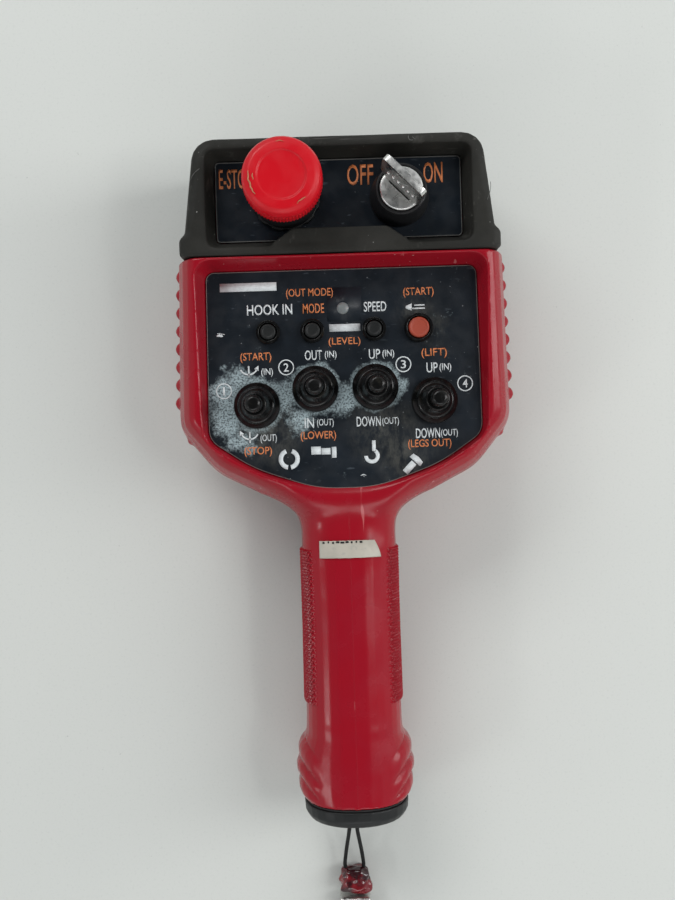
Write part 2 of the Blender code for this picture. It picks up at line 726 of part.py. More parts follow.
def make_key_switch():
    x, y = KEY_SPOT
    floor = HOOD_FLOOR_Z + GAP
    rim = KEY_FACE_Z - 0.8
    bezel = [(9.0, rim), (9.8, rim), (10.2, rim - 0.4), (12.0, 57.0), (12.0, floor), (10.6, floor)]
    bezel += [(10.6, 47.2), (9.0, 47.2)]
    turned("key_bezel", bezel, "black_rubber", (x, y, 0), steps=32, ring=True)
    rotor_profile = [(0, KEY_FACE_Z), (8.1, KEY_FACE_Z), (8.6, KEY_FACE_Z - 0.5), (8.6, 47.4), (0, 47.4)]
    rotor = turned("key_rotor", rotor_profile, "steel", (x, y, 0), steps=32)
    slot = block("key_slot", (-5.4, -1.6, 49.5), (5.4, 1.6, 74), None, at=(x, y, 0))
    slot.rotation_euler.z = KEY_ANGLE
    combine(rotor, slot, "DIFFERENCE")
    low = KEY_FACE_Z + GAP
    top = KEY_TOP_Z
    right = [(10.2, top, 2.2), (10.2, low + 5, 2.0), (7.5, low, 1.0)]
    bow = rounded(mirrored(right), 3)
    key = plate("key", [bow], -1.3, 1.3, "steel")
    key.rotation_euler = (math.radians(90), 0, KEY_ANGLE)
    key.location = Vector((x, y, 0)) * MM
    blade = block("key_blade", (-4.8, 50.2, -1.1), (4.8, low + 2, 1.1), None)
    blade.rotation_euler = key.rotation_euler
    blade.location = key.location
    combine(key, blade, "UNION")
    ring_hole = block("key_ring_hole", (-3.2, top - 6.4, -3), (3.2, top - 2.6, 3), None)
    ring_hole.rotation_euler = key.rotation_euler
    ring_hole.location = key.location
    combine(key, ring_hole, "DIFFERENCE")
    body = block("key_switch_body", (-11, -11, 22), (11, 11, 46.9), "black_plastic", (x, y, 0))
    bevel(body, 1.0, segments=1)


def make_trigger():
    """Speed trigger behind the neck, on a pin across the handle, with its return spring."""
    boss = 4.5
    profile = []
    for step in range(9):
        angle = math.radians(-60 + step * 30)
        profile.append((boss * math.cos(angle), boss * math.sin(angle)))
    profile += [(-13, 0.0), (-22, -4.4), (-31, -6.6), (-36, -7.6), (-38.2, -9.6), (-38.4, -11.6)]
    profile += [(-36.8, -13.4), (-33, -12.6), (-26, -13.2), (-16, -14.2), (-8, -12.4), (-2, -8.5)]
    hole = circle(0, 0, 1.8, 16)
    trigger = plate("trigger", [profile, hole], -TRIGGER_HALF, TRIGGER_HALF, "black_plastic")
    trigger.matrix_world = Matrix.Translation(
        Vector((0, *TRIGGER_PIVOT)) * MM
    ) @ PROFILE_ACROSS
    bevel(trigger, 0.7, segments=2, angle=60)
    pin = rods("trigger_pin", [(0, 0, 1.5, -11.2, 11.2)], "steel", turn=ALONG_X, segments=16)
    pin.location = Vector((0, *TRIGGER_PIVOT)) * MM
    turns, per_turn, radius = 3, 10, 3.0
    low, high = 20.8, 26.5
    route = []
    for step in range(turns * per_turn + 1):
        angle = 2 * math.pi * step / per_turn
        z = low + (high - low) * step / (turns * per_turn)
        route.append((radius * math.cos(angle), -10.5 + radius * math.sin(angle), z))
    tube("trigger_spring", route, 0.8, "steel")
    sensor = block("trigger_sensor", (-6, 9.4, 12), (6, 18, 24.1), "black_plastic")
    bevel(sensor, 0.6, segments=1)


# ---------------------------------------------------------------- inside


def make_electronics():
    outline = rounded(mirrored([(49, 90, 3), (49, 30, 3), (40, 14, 3)]), 2)
    board = plate("main_board", [outline], 24.4, 26.0, "green_board")
    chip = block("board_chips", (-20, 45, 25.5), (12, 70, 29), None)
    combine(board, chip, "UNION")
    radio = block("radio_module", (18, 56, 26.3), (44, 84, 30.4), "steel")
    bevel(radio, 0.5, segments=1)
    small = rounded(mirrored([(42, 80, 2), (42, 55, 2)]), 2)
    key_board = plate("button_board", [small], 40.0, 41.6, "green_board")
    for i, x in enumerate(BUTTON_XS):
        tact = block(f"tact_{i}", (x - 3, BUTTON_Y - 3, 41), (x + 3, BUTTON_Y + 3, 44.0), None)
        combine(key_board, tact, "UNION")
    rods("antenna", [(0, 0, 2.6, -32, 32)], "black_plastic", (0, 98.5, 18), ALONG_X, 20)


def make_battery_pack():
    """Four cells in a slide-in holder: end plates joined by a crossed web."""
    z = PACK_CENTRE_Z
    start = PACK_END_Y
    end = start + CELL_LENGTH + 4.6
    shift = CELL_RADIUS + 0.9
    span = 2 * CELL_RADIUS + 0.9
    holder = block("battery_holder", (-span, start, z - 0.5), (span, end, z + 0.5), "black_plastic")
    web = block("holder_web", (-0.5, start, z - span), (0.5, end, z + span), None)
    combine(holder, web, "UNION")
    for i, y in enumerate((start, end - 2)):
        faces = [handle_section(at, span, z - span, z + span) for at in (y + 2, y)]
        combine(holder, loft(f"holder_plate_{i}", faces, None), "UNION")
    number = 0
    for sx in (-1, 1):
        for sz in (-1, 1):
            number += 1
            low = start + 2.3
            cell = [(0, CELL_LENGTH), (2.6, CELL_LENGTH), (2.6, CELL_LENGTH - 1.2)]
            cell += [(CELL_RADIUS - 0.4, CELL_LENGTH - 1.2), (CELL_RADIUS, CELL_LENGTH - 1.8)]
            cell += [(CELL_RADIUS, 0.6), (CELL_RADIUS - 0.5, 0), (0, 0)]
            name = f"battery_cell_{number}"
            made = turned(name, cell, "battery_wrap", (sx * shift, low, z + sz * shift), steps=14)
            made.rotation_euler.x = math.radians(-90)


# ---------------------------------------------------------------- trim and strap


def make_tape():
    """Strip of tape bent over the front of the handle."""
    bm = bmesh.new()
    columns = 9
    rows = []
    for y in (-29.0, -21.9):
        row = []
        for i in range(columns):
            x = -12.2 + 25.0 * i / (columns - 1)
            across = 1 - abs(x / HANDLE_HALF) ** HANDLE_ROUNDNESS
            z = 32.0 + 18.1 * across ** (1 / HANDLE_ROUNDNESS) + GAP
            row.append(bm.verts.new(Vector((x, y, z + 0.35)) * MM))
        rows.append(row)
    for i in range(columns - 1):
        bm.faces.new((rows[0][i], rows[0][i + 1], rows[1][i + 1], rows[1][i]))
    tape = place("tape_label", mesh_from(bm, "tape_label"), (0, 0, 0), "white_tape")
    skin = tape.modifiers.new("skin", "SOLIDIFY")
    skin.thickness = 0.25 * MM
    skin.offset = 1


def cord_route(side):
    """Smooth fall of one strand from its eye in the cap to the top of the knot."""
    start = Vector((CORD_EXIT_XS[side], CAP_END_Y + 2.6, CORD_EXIT_Z))
    leave = Vector((CORD_EXIT_XS[side], CAP_END_Y - 9.0, CORD_EXIT_Z))
    top_x = KNOT_CENTRE[0] + (-4.2, 4.2)[side]
    top = Vector((top_x, KNOT_CENTRE[1] + KNOT_SIZE[1] / 2 + GAP, KNOT_CENTRE[2] + 0.5))
    arrive = top + Vector((-1.2 if side else 1.2, 12.0, 2.5))
    route = []
    steps = 12
    for i in range(steps + 1):
        t = i / steps
        a = (1 - t) ** 3
        b = 3 * t * (1 - t) ** 2
        c = 3 * t * t * (1 - t)
        route.append(start * a + leave * b + arrive * c + top * t**3)
    return route


def band_route():
    """Centre line of the wrist loop in the YZ plane: along the floor, round, and back above."""
    low = BAND_THICK / 2 + 0.1
    gap = 2.6
    start = (BAND_START_Y, low + 1.2)
    points = [start, (BAND_START_Y - 14, low)]
    for i in range(1, 6):
        points.append((BAND_START_Y - 14 - i * (BAND_LENGTH - 32) / 5, low))
    centre_y = BAND_START_Y - BAND_LENGTH + 6
    radius = (BAND_HEIGHT - BAND_THICK) / 2
    for i in range(1, 8):
        angle = math.radians(-90 - i * 22.5)
        points.append((centre_y + radius * math.cos(angle), low + radius + radius * math.sin(angle)))
    top = low + 2 * radius
    for i in range(1, 7):
        share = i / 6
        y = centre_y + share * (BAND_START_Y - centre_y)
        fall = share**3
        points.append((y, top + (start[1] + gap + BAND_THICK - top) * fall))
    return points


def make_strap():
    for side, word in enumerate(("left", "right")):
        tube(f"strap_cord_{word}", cord_route(side), CORD_DIAMETER, "black_cord")
    x, y, z = KNOT_CENTRE
    w, d, h = (size / 2 for size in KNOT_SIZE)
    knot = block("strap_knot", (-w, -d, -h), (w, d, h), "red_sleeve", at=KNOT_CENTRE)
    bevel(knot, 3.2, segments=3)
    crimp_high = y - d - GAP
    crimp = block(
        "strap_crimp",
        (-6.9, BAND_START_Y + GAP - crimp_high, -5.2),
        (6.9, 0, 5.2),
        "steel",
        at=(x, crimp_high, 6.1),
    )
    bevel(crimp, 1.0)
    middle = band_route()
    ring = []
    for sign in (1, -1):
        side = []
        for i, point in enumerate(middle):
            here = Vector(point)
            before = Vector(middle[max(i - 1, 0)])
            after = Vector(middle[min(i + 1, len(middle) - 1)])
            along = (after - before).normalized()
            side.append(here + Vector((-along.y, along.x)) * sign * BAND_THICK / 2)
        ring += side if sign == 1 else side[::-1]
    outline = [(p.x, p.y) for p in ring]
    band = plate("strap_band", [outline], -BAND_WIDTH / 2, BAND_WIDTH / 2, "brown_band")
    band.matrix_world = Matrix.Translation(Vector((BAND_X, 0, 0)) * MM) @ PROFILE_ACROSS


def main():
    clear_scene()
    bpy.context.scene.collection.children.link(parts)
    bpy.context.scene.collection.children.link(cutters)
    make_looks()
    make_housing()
    make_rear_cover()
    make_hood()
    make_panel()
    make_end_cap()
    make_buttons()
    make_toggles()
    make_stop_button()
    make_key_switch()
    make_trigger()
    make_electronics()
    make_battery_pack()
    make_tape()
    make_strap()


main()
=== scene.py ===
"""Looks of the hand-held crane remote: refined skins, printed panel, cord, camera and light.

Everything is in metres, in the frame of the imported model. Lengths written as N * MM are in millimetres.
"""

import math

import bmesh
import bpy
import numpy as np
from mathutils import Matrix, Vector, noise
from mathutils.bvhtree import BVHTree


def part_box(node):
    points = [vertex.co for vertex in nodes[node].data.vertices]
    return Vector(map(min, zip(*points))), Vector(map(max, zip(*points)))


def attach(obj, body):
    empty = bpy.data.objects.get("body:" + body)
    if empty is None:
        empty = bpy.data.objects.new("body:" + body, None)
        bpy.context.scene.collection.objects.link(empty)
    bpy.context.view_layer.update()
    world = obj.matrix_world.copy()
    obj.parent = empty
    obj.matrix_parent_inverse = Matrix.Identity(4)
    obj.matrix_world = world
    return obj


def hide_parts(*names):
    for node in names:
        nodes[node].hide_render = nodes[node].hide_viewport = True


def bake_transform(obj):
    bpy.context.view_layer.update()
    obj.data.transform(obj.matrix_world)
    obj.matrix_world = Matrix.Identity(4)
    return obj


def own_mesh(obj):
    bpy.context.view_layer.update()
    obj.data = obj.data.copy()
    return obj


MM = 0.001
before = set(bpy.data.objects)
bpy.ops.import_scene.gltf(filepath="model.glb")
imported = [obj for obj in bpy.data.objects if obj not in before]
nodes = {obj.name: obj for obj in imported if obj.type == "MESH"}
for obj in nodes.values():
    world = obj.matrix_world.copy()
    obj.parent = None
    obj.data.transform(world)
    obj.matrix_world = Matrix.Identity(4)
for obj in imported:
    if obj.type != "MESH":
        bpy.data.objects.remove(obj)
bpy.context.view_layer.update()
scene = bpy.context.scene


def placed(name, data):
    obj = bpy.data.objects.new(name, data)
    scene.collection.objects.link(obj)
    return obj


# -------- camera

CAMERA_AT = (-4.6 * MM, 16 * MM, 472 * MM)
CAMERA_ROLL = math.radians(-1.8)
LENS = 41.4
SHIFT = (2.5 / 900, -2.0 / 900)


def make_camera():
    data = bpy.data.cameras.new("camera")
    data.lens = LENS
    data.sensor_width = 36
    data.clip_start = 0.01
    data.shift_x, data.shift_y = SHIFT
    scene.camera = placed("camera", data)
    scene.camera.location = CAMERA_AT
    scene.camera.rotation_euler = (0, 0, CAMERA_ROLL)


# -------- materials

RANGE_SOCKETS = ("From Min", "From Max", "To Min", "To Max")


class Shader:
    """A Principled material, with short ways to add the nodes that it is built from."""

    def __init__(self, name, colour, roughness, metallic=0.0, specular=0.5, **sockets):
        self.material = bpy.data.materials.new(name)
        self.material.use_nodes = True
        self.tree = self.material.node_tree
        self.shader = self.tree.nodes["Principled BSDF"]
        self.colour = colour
        self.roughness = roughness
        self.normal = None
        fixed = {"Metallic": metallic, "Specular IOR Level": specular, **sockets}
        for socket, value in fixed.items():
            self.shader.inputs[socket.replace("_", " ")].default_value = value
        self.place = self.node("ShaderNodeTexCoord").outputs["Object"]

    def node(self, kind, inputs=None, **settings):
        made = self.tree.nodes.new(kind)
        for key, value in settings.items():
            setattr(made, key, value)
        for key, value in (inputs or {}).items():
            self.feed(made.inputs[key], value)
        return made

    def feed(self, socket, value):
        """Gives a socket another socket's output, a number, a vector, or a colour without alpha."""
        if hasattr(value, "is_linked"):
            self.tree.links.new(value, socket)
        else:
            socket.default_value = (*value, 1.0) if socket.type == "RGBA" else value

    def noise(self, scale, detail=3.0, stretch=(1, 1, 1), roughness=0.55, turn=0.0):
        mapping = self.node("ShaderNodeMapping", {"Scale": stretch, "Rotation": (0, 0, turn),
                                                  "Vector": self.place})
        made = self.node("ShaderNodeTexNoise", {"Scale": scale, "Detail": detail, "Roughness": roughness,
                                                "Vector": mapping.outputs[0]})
        return made.outputs["Fac"]

    def ramp(self, value, low, high, to_low=0.0, to_high=1.0):
        limits = zip(RANGE_SOCKETS, (low, high, to_low, to_high))
        return self.node("ShaderNodeMapRange", {"Value": value, **dict(limits)}, clamp=True).outputs[0]

    def math(self, operation, a, b):
        return self.node("ShaderNodeMath", {0: a, 1: b}, operation=operation).outputs[0]

    def tint(self, mask, colour):
        """Paints a colour where the mask is 1."""
        inputs = {"Factor": mask, "A": self.colour, "B": colour}
        self.colour = self.node("ShaderNodeMix", inputs, data_type="RGBA").outputs["Result"]

    def patches(self, colour, low, high, most, *noise, **more):
        """Paints a colour where noise rises from low to high, at most to the given share."""
        self.tint(self.ramp(self.noise(*noise, **more), low, high, 0, most), colour)

    def rough(self, mask, value):
        """Moves the roughness towards a value where the mask is 1."""
        inputs = {0: mask, 2: self.roughness, 3: value}
        self.roughness = self.node("ShaderNodeMix", inputs, data_type="FLOAT").outputs[0]

    def dull(self, value, low, high, *noise):
        """Moves the roughness towards a value where noise rises from low to high."""
        self.rough(self.ramp(self.noise(*noise), low, high), value)

    def relief(self, height, strength, distance):
        bump = self.node("ShaderNodeBump", {"Strength": strength, "Distance": distance, "Height": height})
        if self.normal:
            self.feed(bump.inputs["Normal"], self.normal)
        self.normal = bump.outputs["Normal"]

    def grain(self, strength, distance, *noise, **more):
        """Raises a surface by noise, in metres."""
        self.relief(self.noise(*noise, **more), strength, distance)

    def blob(self, x, y, radius, soft):
        """A soft round mask around a point of the front panel."""
        flat = self.node("ShaderNodeVectorMath", {0: self.place, 1: (1, 1, 0)}, operation="MULTIPLY")
        offset = self.node("ShaderNodeVectorMath", {0: flat.outputs[0], 1: (x * MM, y * MM, 0)},
                           operation="DISTANCE")
        return self.ramp(offset.outputs["Value"], (radius + soft) * MM, (radius - soft) * MM)

    def blobs(self, spots):
        """A mask over all the spots, each (x, y, radius, softness)."""
        mask = self.blob(*spots[0])
        for spot in spots[1:]:
            mask = self.math("MAXIMUM", mask, self.blob(*spot))
        return mask

    def done(self):
        self.feed(self.shader.inputs["Base Color"], self.colour)
        self.feed(self.shader.inputs["Roughness"], self.roughness)
        if self.normal:
            self.feed(self.shader.inputs["Normal"], self.normal)
        return self.material


def lit(colour, gain, lift=0.0):
    return tuple(c * gain + lift for c in colour)


def plain_finish(name, colour, roughness, metallic=0.0, relief=0.15, **sockets):
    """A moulded or plated surface with slight blotches, fine grain and faint scratches."""
    s = Shader(name, colour, roughness, metallic, **sockets)
    s.patches(lit(colour, 1.45, 0.004), 0.35, 0.7, 0.35, 45)
    s.dull(min(1.0, roughness + 0.14), 0.3, 0.75, 120)
    s.patches(lit(colour, 1.7, 0.02), 0.66, 0.72, 0.25, 260, 2, (1, 0.05, 1), turn=0.4)
    s.grain(relief, 0.00012, 900, 2)
    return s.done()


def red_housing():
    """Semi-gloss red moulding with dull patches, grime and pale nicks."""
    s = Shader("red_housing", (0.285, 0.0045, 0.013), 0.2, specular=0.27)
    s.patches((0.24, 0.007, 0.019), 0.42, 0.72, 0.5, 30, 4)
    s.patches((0.33, 0.004, 0.011), 0.5, 0.75, 0.5, 14, 2)
    s.dull(0.36, 0.45, 0.75, 60, 4)
    s.patches((0.12, 0.012, 0.016), 0.66, 0.78, 0.55, 85, 6, roughness=0.7)  # grime
    s.patches((0.6, 0.2, 0.2), 0.71, 0.75, 0.45, 420, 2, (1, 0.06, 0.3), turn=0.9)  # streak
    s.patches((0.62, 0.42, 0.4), 0.80, 0.83, 0.8, 330, 1)  # nick
    s.grain(0.06, 0.0004, 140, 3)
    s.grain(0.12, 0.00005, 1500, 2)
    return s.done()


def mushroom_red():
    s = Shader("mushroom_red", (0.53, 0.003, 0.010), 0.3, specular=0.27)
    s.patches((0.48, 0.004, 0.012), 0.4, 0.7, 0.4, 60, 3)
    s.dull(0.52, 0.4, 0.7, 150, 4)
    s.patches((0.8, 0.2, 0.16), 0.72, 0.76, 0.4, 480, 2, (1, 0.1, 1))
    s.grain(0.1, 0.00006, 900, 2)
    return s.done()


def hood_rubber():
    """Matt black-brown rubber, greyed and scuffed on its lip."""
    s = Shader("hood_rubber", (0.013, 0.0128, 0.0105), 0.58, specular=0.25)
    s.patches((0.028, 0.027, 0.023), 0.4, 0.75, 0.7, 55, 5, roughness=0.65)
    s.patches((0.075, 0.073, 0.065), 0.60, 0.74, 0.6, 170, 6, (1, 0.5, 1), 0.7)  # scuff
    s.patches((0.13, 0.125, 0.115), 0.70, 0.76, 0.5, 500, 2, (0.08, 1, 1), turn=0.2)
    s.patches((0.3, 0.3, 0.28), 0.79, 0.82, 0.7, 700, 1)
    s.dull(0.8, 0.35, 0.7, 90, 3)
    s.grain(0.25, 0.00008, 1300, 3)
    return s.done()


WORN_SPOTS = (  # x, y, radius and softness of each rubbed place, in millimetres
    (-35.6, 34.1, 11.2, 3), (-47, 37, 8, 6), (-48, 27, 6, 6), (-44, 19, 5, 7), (-24, 37, 7, 5),
    (-11.8, 40.2, 10.6, 2), (1, 37, 6, 5), (12.5, 40.2, 10.8, 2), (-18, 29, 5, 6), (23, 41, 2, 3),
    (-43, 45, 4, 5), (-49, 50, 1, 2),
)
HAZY_SPOTS = ((16, 23, 9, 9), (24, 13, 7, 8), (-30, 22, 8, 8), (30, 70, 3, 7), (36, 63, 3, 6))


def panel_film(name, colour, worn):
    """Dark blue-black printed film. Around the levers it is rubbed through to speckled grey."""
    s = Shader(name, colour, 0.3, specular=0.25)
    s.patches(lit(colour, 1.9, 0.002), 0.4, 0.75, 0.7, 70, 5)
    s.patches((0.10, 0.12, 0.14), 0.66, 0.74, 0.35, 520, 3, (0.3, 1, 1), turn=0.5)
    s.dull(0.52, 0.4, 0.7, 160, 4)
    s.patches((0.3, 0.32, 0.33), 0.78, 0.81, 0.6, 800, 1)
    if worn:
        edge = s.ramp(s.noise(110, 7, roughness=0.75), 0.3, 0.7, -0.6, 0.35)
        ragged = s.math("ADD", s.blobs(WORN_SPOTS), edge)
        rubbed = s.ramp(ragged, 0.22, 0.62)
        speck = s.ramp(s.noise(1250, 4, roughness=0.65), 0.40, 0.54, 0.08, 0.95)
        s.tint(s.math("MULTIPLY", rubbed, 0.5), (0.07, 0.09, 0.10))
        s.tint(s.math("MULTIPLY", rubbed, speck), (0.33, 0.41, 0.43))
        cloud = s.ramp(s.noise(260, 6, (1, 0.5, 1), 0.7), 0.42, 0.8, 0.03, 0.75)
        s.tint(s.math("MULTIPLY", s.blobs(HAZY_SPOTS), cloud), (0.17, 0.165, 0.14))
        s.rough(rubbed, 0.7)
        s.relief(speck, 0.1, 0.00006)
    s.grain(0.12, 0.00005, 1000, 3)
    return s.done()


def boot_rubber():
    s = Shader("boot_rubber", (0.003, 0.003, 0.003), 0.2, specular=0.3)
    s.patches((0.035, 0.032, 0.024), 0.55, 0.8, 0.5, 160, 5, roughness=0.7)
    s.dull(0.5, 0.5, 0.8, 200, 3)
    s.grain(0.2, 0.00006, 1600, 2)
    return s.done()


def plated_metal():
    """Worn bright plating with fine turned marks and dull spots."""
    s = Shader("plated_metal", (0.66, 0.66, 0.64), 0.26, 1.0)
    s.patches((0.48, 0.47, 0.45), 0.45, 0.75, 0.4, 260, 5)
    s.dull(0.48, 0.4, 0.7, 340, 4)
    s.patches((0.3, 0.29, 0.27), 0.62, 0.7, 0.5, 900, 2, (1, 0.15, 1), turn=0.7)
    s.grain(0.07, 0.00006, 1100, 2, (1, 0.2, 1))
    return s.done()


def tape_paper():
    s = Shader("tape_paper", (0.44, 0.41, 0.35), 0.42)
    s.patches((0.34, 0.32, 0.27), 0.45, 0.7, 0.7, 120, 5)
    s.patches((0.30, 0.30, 0.28), 0.6, 0.72, 0.5, 420, 3)
    s.grain(0.3, 0.00012, 500, 4)
    return s.done()


def braid(name, colour, scale):
    """Tightly braided thread: two crossing sets of strands, with painted shade in the grooves between them.
    """
    s = Shader(name, colour, 0.7, specular=0.3)
    weave = []
    for turn in (0.8, -0.8):
        mapping = s.node("ShaderNodeMapping", {"Rotation": (0, 0, turn), "Vector": s.place})
        wave = s.node("ShaderNodeTexWave", {"Scale": scale, "Vector": mapping.outputs[0]})
        weave.append(wave.outputs["Fac"])
    height = s.math("MAXIMUM", *weave)
    # painted shade: the raised strands are painted lighter than the grooves between them
    s.tint(s.ramp(height, 0.2, 0.9, 0, 0.6), lit(colour, 2.2, 0.003))
    s.patches(lit(colour, 3, 0.02), 0.6, 0.75, 0.4, 300, 4)
    s.relief(height, 0.5, 0.0002)
    return s.done()


def knot_wrap():
    """Glossy dark red wrapping. Its near-black patches are painted shade, standing for the shade in its
    folds.
    """
    s = Shader("knot_wrap", (0.15, 0.003, 0.008), 0.18, Coat_Weight=0.3)
    s.patches((0.28, 0.007, 0.014), 0.5, 0.7, 0.7, 80, 3)
    # painted shade: near-black patches standing for the shade in the wrap's folds
    s.patches((0.012, 0.002, 0.004), 0.44, 0.56, 0.9, 150, 4, roughness=0.55)
    s.dull(0.28, 0.4, 0.7, 200, 4)
    s.grain(0.2, 0.0006, 110, 2, roughness=0.4)
    return s.done()


def make_materials():
    return {
        "red": red_housing(),
        "mushroom": mushroom_red(),
        "hood": hood_rubber(),
        "panel": panel_film("panel_film", (0.0075, 0.0105, 0.0145), True),
        "hood_film": panel_film("hood_film", (0.0035, 0.0065, 0.0105), False),
        "window": panel_film("window_film", (0.012, 0.016, 0.021), False),
        "boot": boot_rubber(),
        "plated": plated_metal(),
        "tape": tape_paper(),
        "cord": braid("cord_braid", (0.003, 0.003, 0.003), 900),
        "band": braid("band_weave", (0.030, 0.007, 0.007), 420),
        "knot": knot_wrap(),
        "black": plain_finish("black_plastic", (0.0065, 0.0065, 0.007), 0.36, specular=0.25),
        "cap": plain_finish("cap_plastic", (0.008, 0.009, 0.009), 0.4, relief=0.4, specular=0.3),
        "button": plain_finish("button_plastic", (0.009, 0.010, 0.010), 0.42, specular=0.25),
        "orange": plain_finish("orange_plastic", (0.28, 0.036, 0.014), 0.5),
        "lens": plain_finish("lens_plastic", (0.17, 0.18, 0.18), 0.3, Subsurface_Weight=0.1),
        "seal": plain_finish("seal_rubber", (0.012, 0.012, 0.012), 0.75),
        "steel": plain_finish("steel", (0.56, 0.56, 0.55), 0.34, 1.0),
        "board": plain_finish("board_mask", (0.008, 0.09, 0.035), 0.4),
        "cell": plain_finish("cell_wrap", (0.035, 0.036, 0.042), 0.35, Coat_Weight=0.2),
        "white": print_ink("white_ink", (0.66, 0.70, 0.71)),
        "amber": print_ink("amber_ink", (0.62, 0.19, 0.06)),
        "worn_mark": print_ink("worn_mark", (0.42, 0.17, 0.08)),
        "scuff": print_ink("scuff", (0.075, 0.075, 0.07)),
        "pale_edge": print_ink("pale_edge", (0.16, 0.11, 0.10)),
    }


def print_ink(name, colour):
    """Printed ink, thinned and chipped in places."""
    s = Shader(name, colour, 0.5)
    s.patches(lit(colour, 0.55), 0.45, 0.75, 0.55, 420, 4)
    s.patches(lit(colour, 0.25), 0.68, 0.74, 0.4, 1400, 2)
    s.grain(0.15, 0.00003, 1200, 2)
    return s.done()


# -------- mesh tools

WELD_CAD = 0.000003  # points nearer than this are one, in metres
WELD_TURNED = 0.000002


def piece(name, data, body, look, stands_for=()):
    """A finished piece: on its body, with its finish, and in place of CAD nodes."""
    obj = placed(name, data)
    data.materials.clear()
    data.materials.append(looks[look])
    if body:
        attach(obj, body)
    if stands_for:
        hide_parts(*stands_for)
    return obj


def turned(name, corners, at, body, look, slot, node, **how):
    """A turned piece that stands for a CAD node."""
    return piece(name, lathe(name, corners, at, **how), body, look, (node,))


def ink(name, shapes, look, slot, body="housing", **how):
    """A piece of thin raised ink."""
    piece(name, joined(name, shapes, **how), body, look)


def middle(node):
    low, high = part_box(node)
    return (low[0] + high[0]) / 2, (low[1] + high[1]) / 2


def length_of(line):
    return sum((b - a).length for a, b in zip(line, line[1:]))


def shade(mesh, angle=40):
    mesh.shade_smooth()
    mesh.set_sharp_from_angle(angle=math.radians(angle))
    return mesh


def mesh_from(bm, name):
    mesh = bpy.data.meshes.new(name)
    bm.to_mesh(mesh)
    bm.free()
    return mesh


def mesh_of(name, points, faces, angle=40, weld=0.0):
    mesh = bpy.data.meshes.new(name)
    mesh.from_pydata([tuple(p) for p in points], [], faces)
    bm = bmesh.new()
    bm.from_mesh(mesh)
    if weld:
        bmesh.ops.remove_doubles(bm, verts=bm.verts, dist=weld)
    bmesh.ops.recalc_face_normals(bm, faces=bm.faces)
    bm.to_mesh(mesh)
    bm.free()
    return shade(mesh, angle)


def grid_faces(rows, columns, wrap):
    faces = []
    for r in range(rows - 1):
        for c in range(columns if wrap else columns - 1):
            d = (c + 1) % columns
            faces.append((r * columns + c, r * columns + d, (r + 1) * columns + d, (r + 1) * columns + c))
    return faces


def smooth_profile(corners, radius, steps=4):
    """A profile in (radius, height) with its inner corners rounded, in millimetres."""
    out = [Vector(corners[0])]
    for before, here, after in zip(corners, corners[1:], corners[2:]):
        here, before, after = Vector(here), Vector(before), Vector(after)
        reach = min(radius, (before - here).length * 0.45, (after - here).length * 0.45)
        a = here + (before - here).normalized() * reach
        b = here + (after - here).normalized() * reach
        for i in range(steps + 1):
            t = i / steps
            out.append(a * (1 - t) ** 2 + here * 2 * t * (1 - t) + b * t * t)
    out.append(Vector(corners[-1]))
    return out


def lathe(name, corners, at, steps=96, ring=False, radius=0.4, ripple=None):
    """A turned mesh from (radius, height) corners in millimetres, around a point in metres.

    ripple(angle, r, z) returns what to add to the radius, in millimetres.
    """
    if ring:
        corners = [*corners, corners[0]]
    profile = smooth_profile(corners, radius)
    points = []
    for r, z in profile:
        for i in range(steps):
            angle = 2 * math.pi * i / steps
            grown = r + (ripple(angle, r, z) if ripple and r > 0.01 else 0.0)
            points.append((at[0] + grown * math.cos(angle) * MM, at[1] + grown * math.sin(angle) * MM,
                           z * MM))
    return mesh_of(name, points, grid_faces(len(profile), steps, True), 50, WELD_TURNED)


def modify(obj, kind, **settings):
    made = obj.modifiers.new(kind, kind)
    for key, value in settings.items():
        setattr(made, key, value)


def evaluated(obj):
    """The object's mesh with its modifiers applied. The object goes."""
    bpy.context.view_layer.update()
    graph = bpy.context.evaluated_depsgraph_get()
    mesh = bpy.data.meshes.new_from_object(obj.evaluated_get(graph))
    bpy.data.objects.remove(obj)
    return mesh


def remeshed(node, voxel, smoothing):
    """The CAD node's shape as one even mesh whose edges are slightly rounded, as in a moulding."""
    obj = placed("work", nodes[node].data.copy())
    modify(obj, "REMESH", mode="VOXEL", voxel_size=voxel * MM)
    modify(obj, "SMOOTH", factor=0.5, iterations=smoothing)
    mesh = evaluated(obj)
    mesh.shade_smooth()
    return mesh


def refined(node, width):
    """The CAD node's shape with its edges rounded."""
    obj = placed("work", nodes[node].data.copy())
    modify(obj, "WELD", merge_threshold=WELD_CAD)
    modify(obj, "BEVEL", width=width * MM, segments=2, limit_method="ANGLE", angle_limit=math.radians(30))
    return shade(evaluated(obj), 35)


def rows_of(items, field):
    found = np.empty(len(items) * 3)
    items.foreach_get(field, found)
    return found.reshape(-1, 3)


def vertices(mesh):
    return rows_of(mesh.vertices, "co")


def normals(mesh):
    return rows_of(mesh.vertex_normals, "vector")


def put_vertices(mesh, points):
    mesh.vertices.foreach_set("co", points.reshape(-1))
    mesh.update()


def step(value, low, high):
    """0 below low, 1 above high, and smooth between."""
    share = np.clip((value - low) / (high - low), 0, 1)
    return share * share * (3 - 2 * share)


def relaxed(mesh, points, weight, rounds):
    """The points drawn towards their neighbours, as far as their weight allows."""
    ends = np.empty(len(mesh.edges) * 2, dtype=int)
    mesh.edges.foreach_get("vertices", ends)
    a, b = ends.reshape(-1, 2).T
    near = (weight[a] > 0) | (weight[b] > 0)
    a, b = a[near], b[near]
    count = len(points)
    links = np.maximum(np.bincount(a, minlength=count) + np.bincount(b, minlength=count), 1)
    pull = 0.6 * weight
    for _ in range(rounds):
        for axis in range(3):
            column = points[:, axis]
            around = np.bincount(a, column[b], count) + np.bincount(b, column[a], count)
            points[:, axis] = column + pull * (around / links - column)
    return points


def bell(value, width):
    return np.exp(-((value / width) ** 2))


# -------- cord and strap

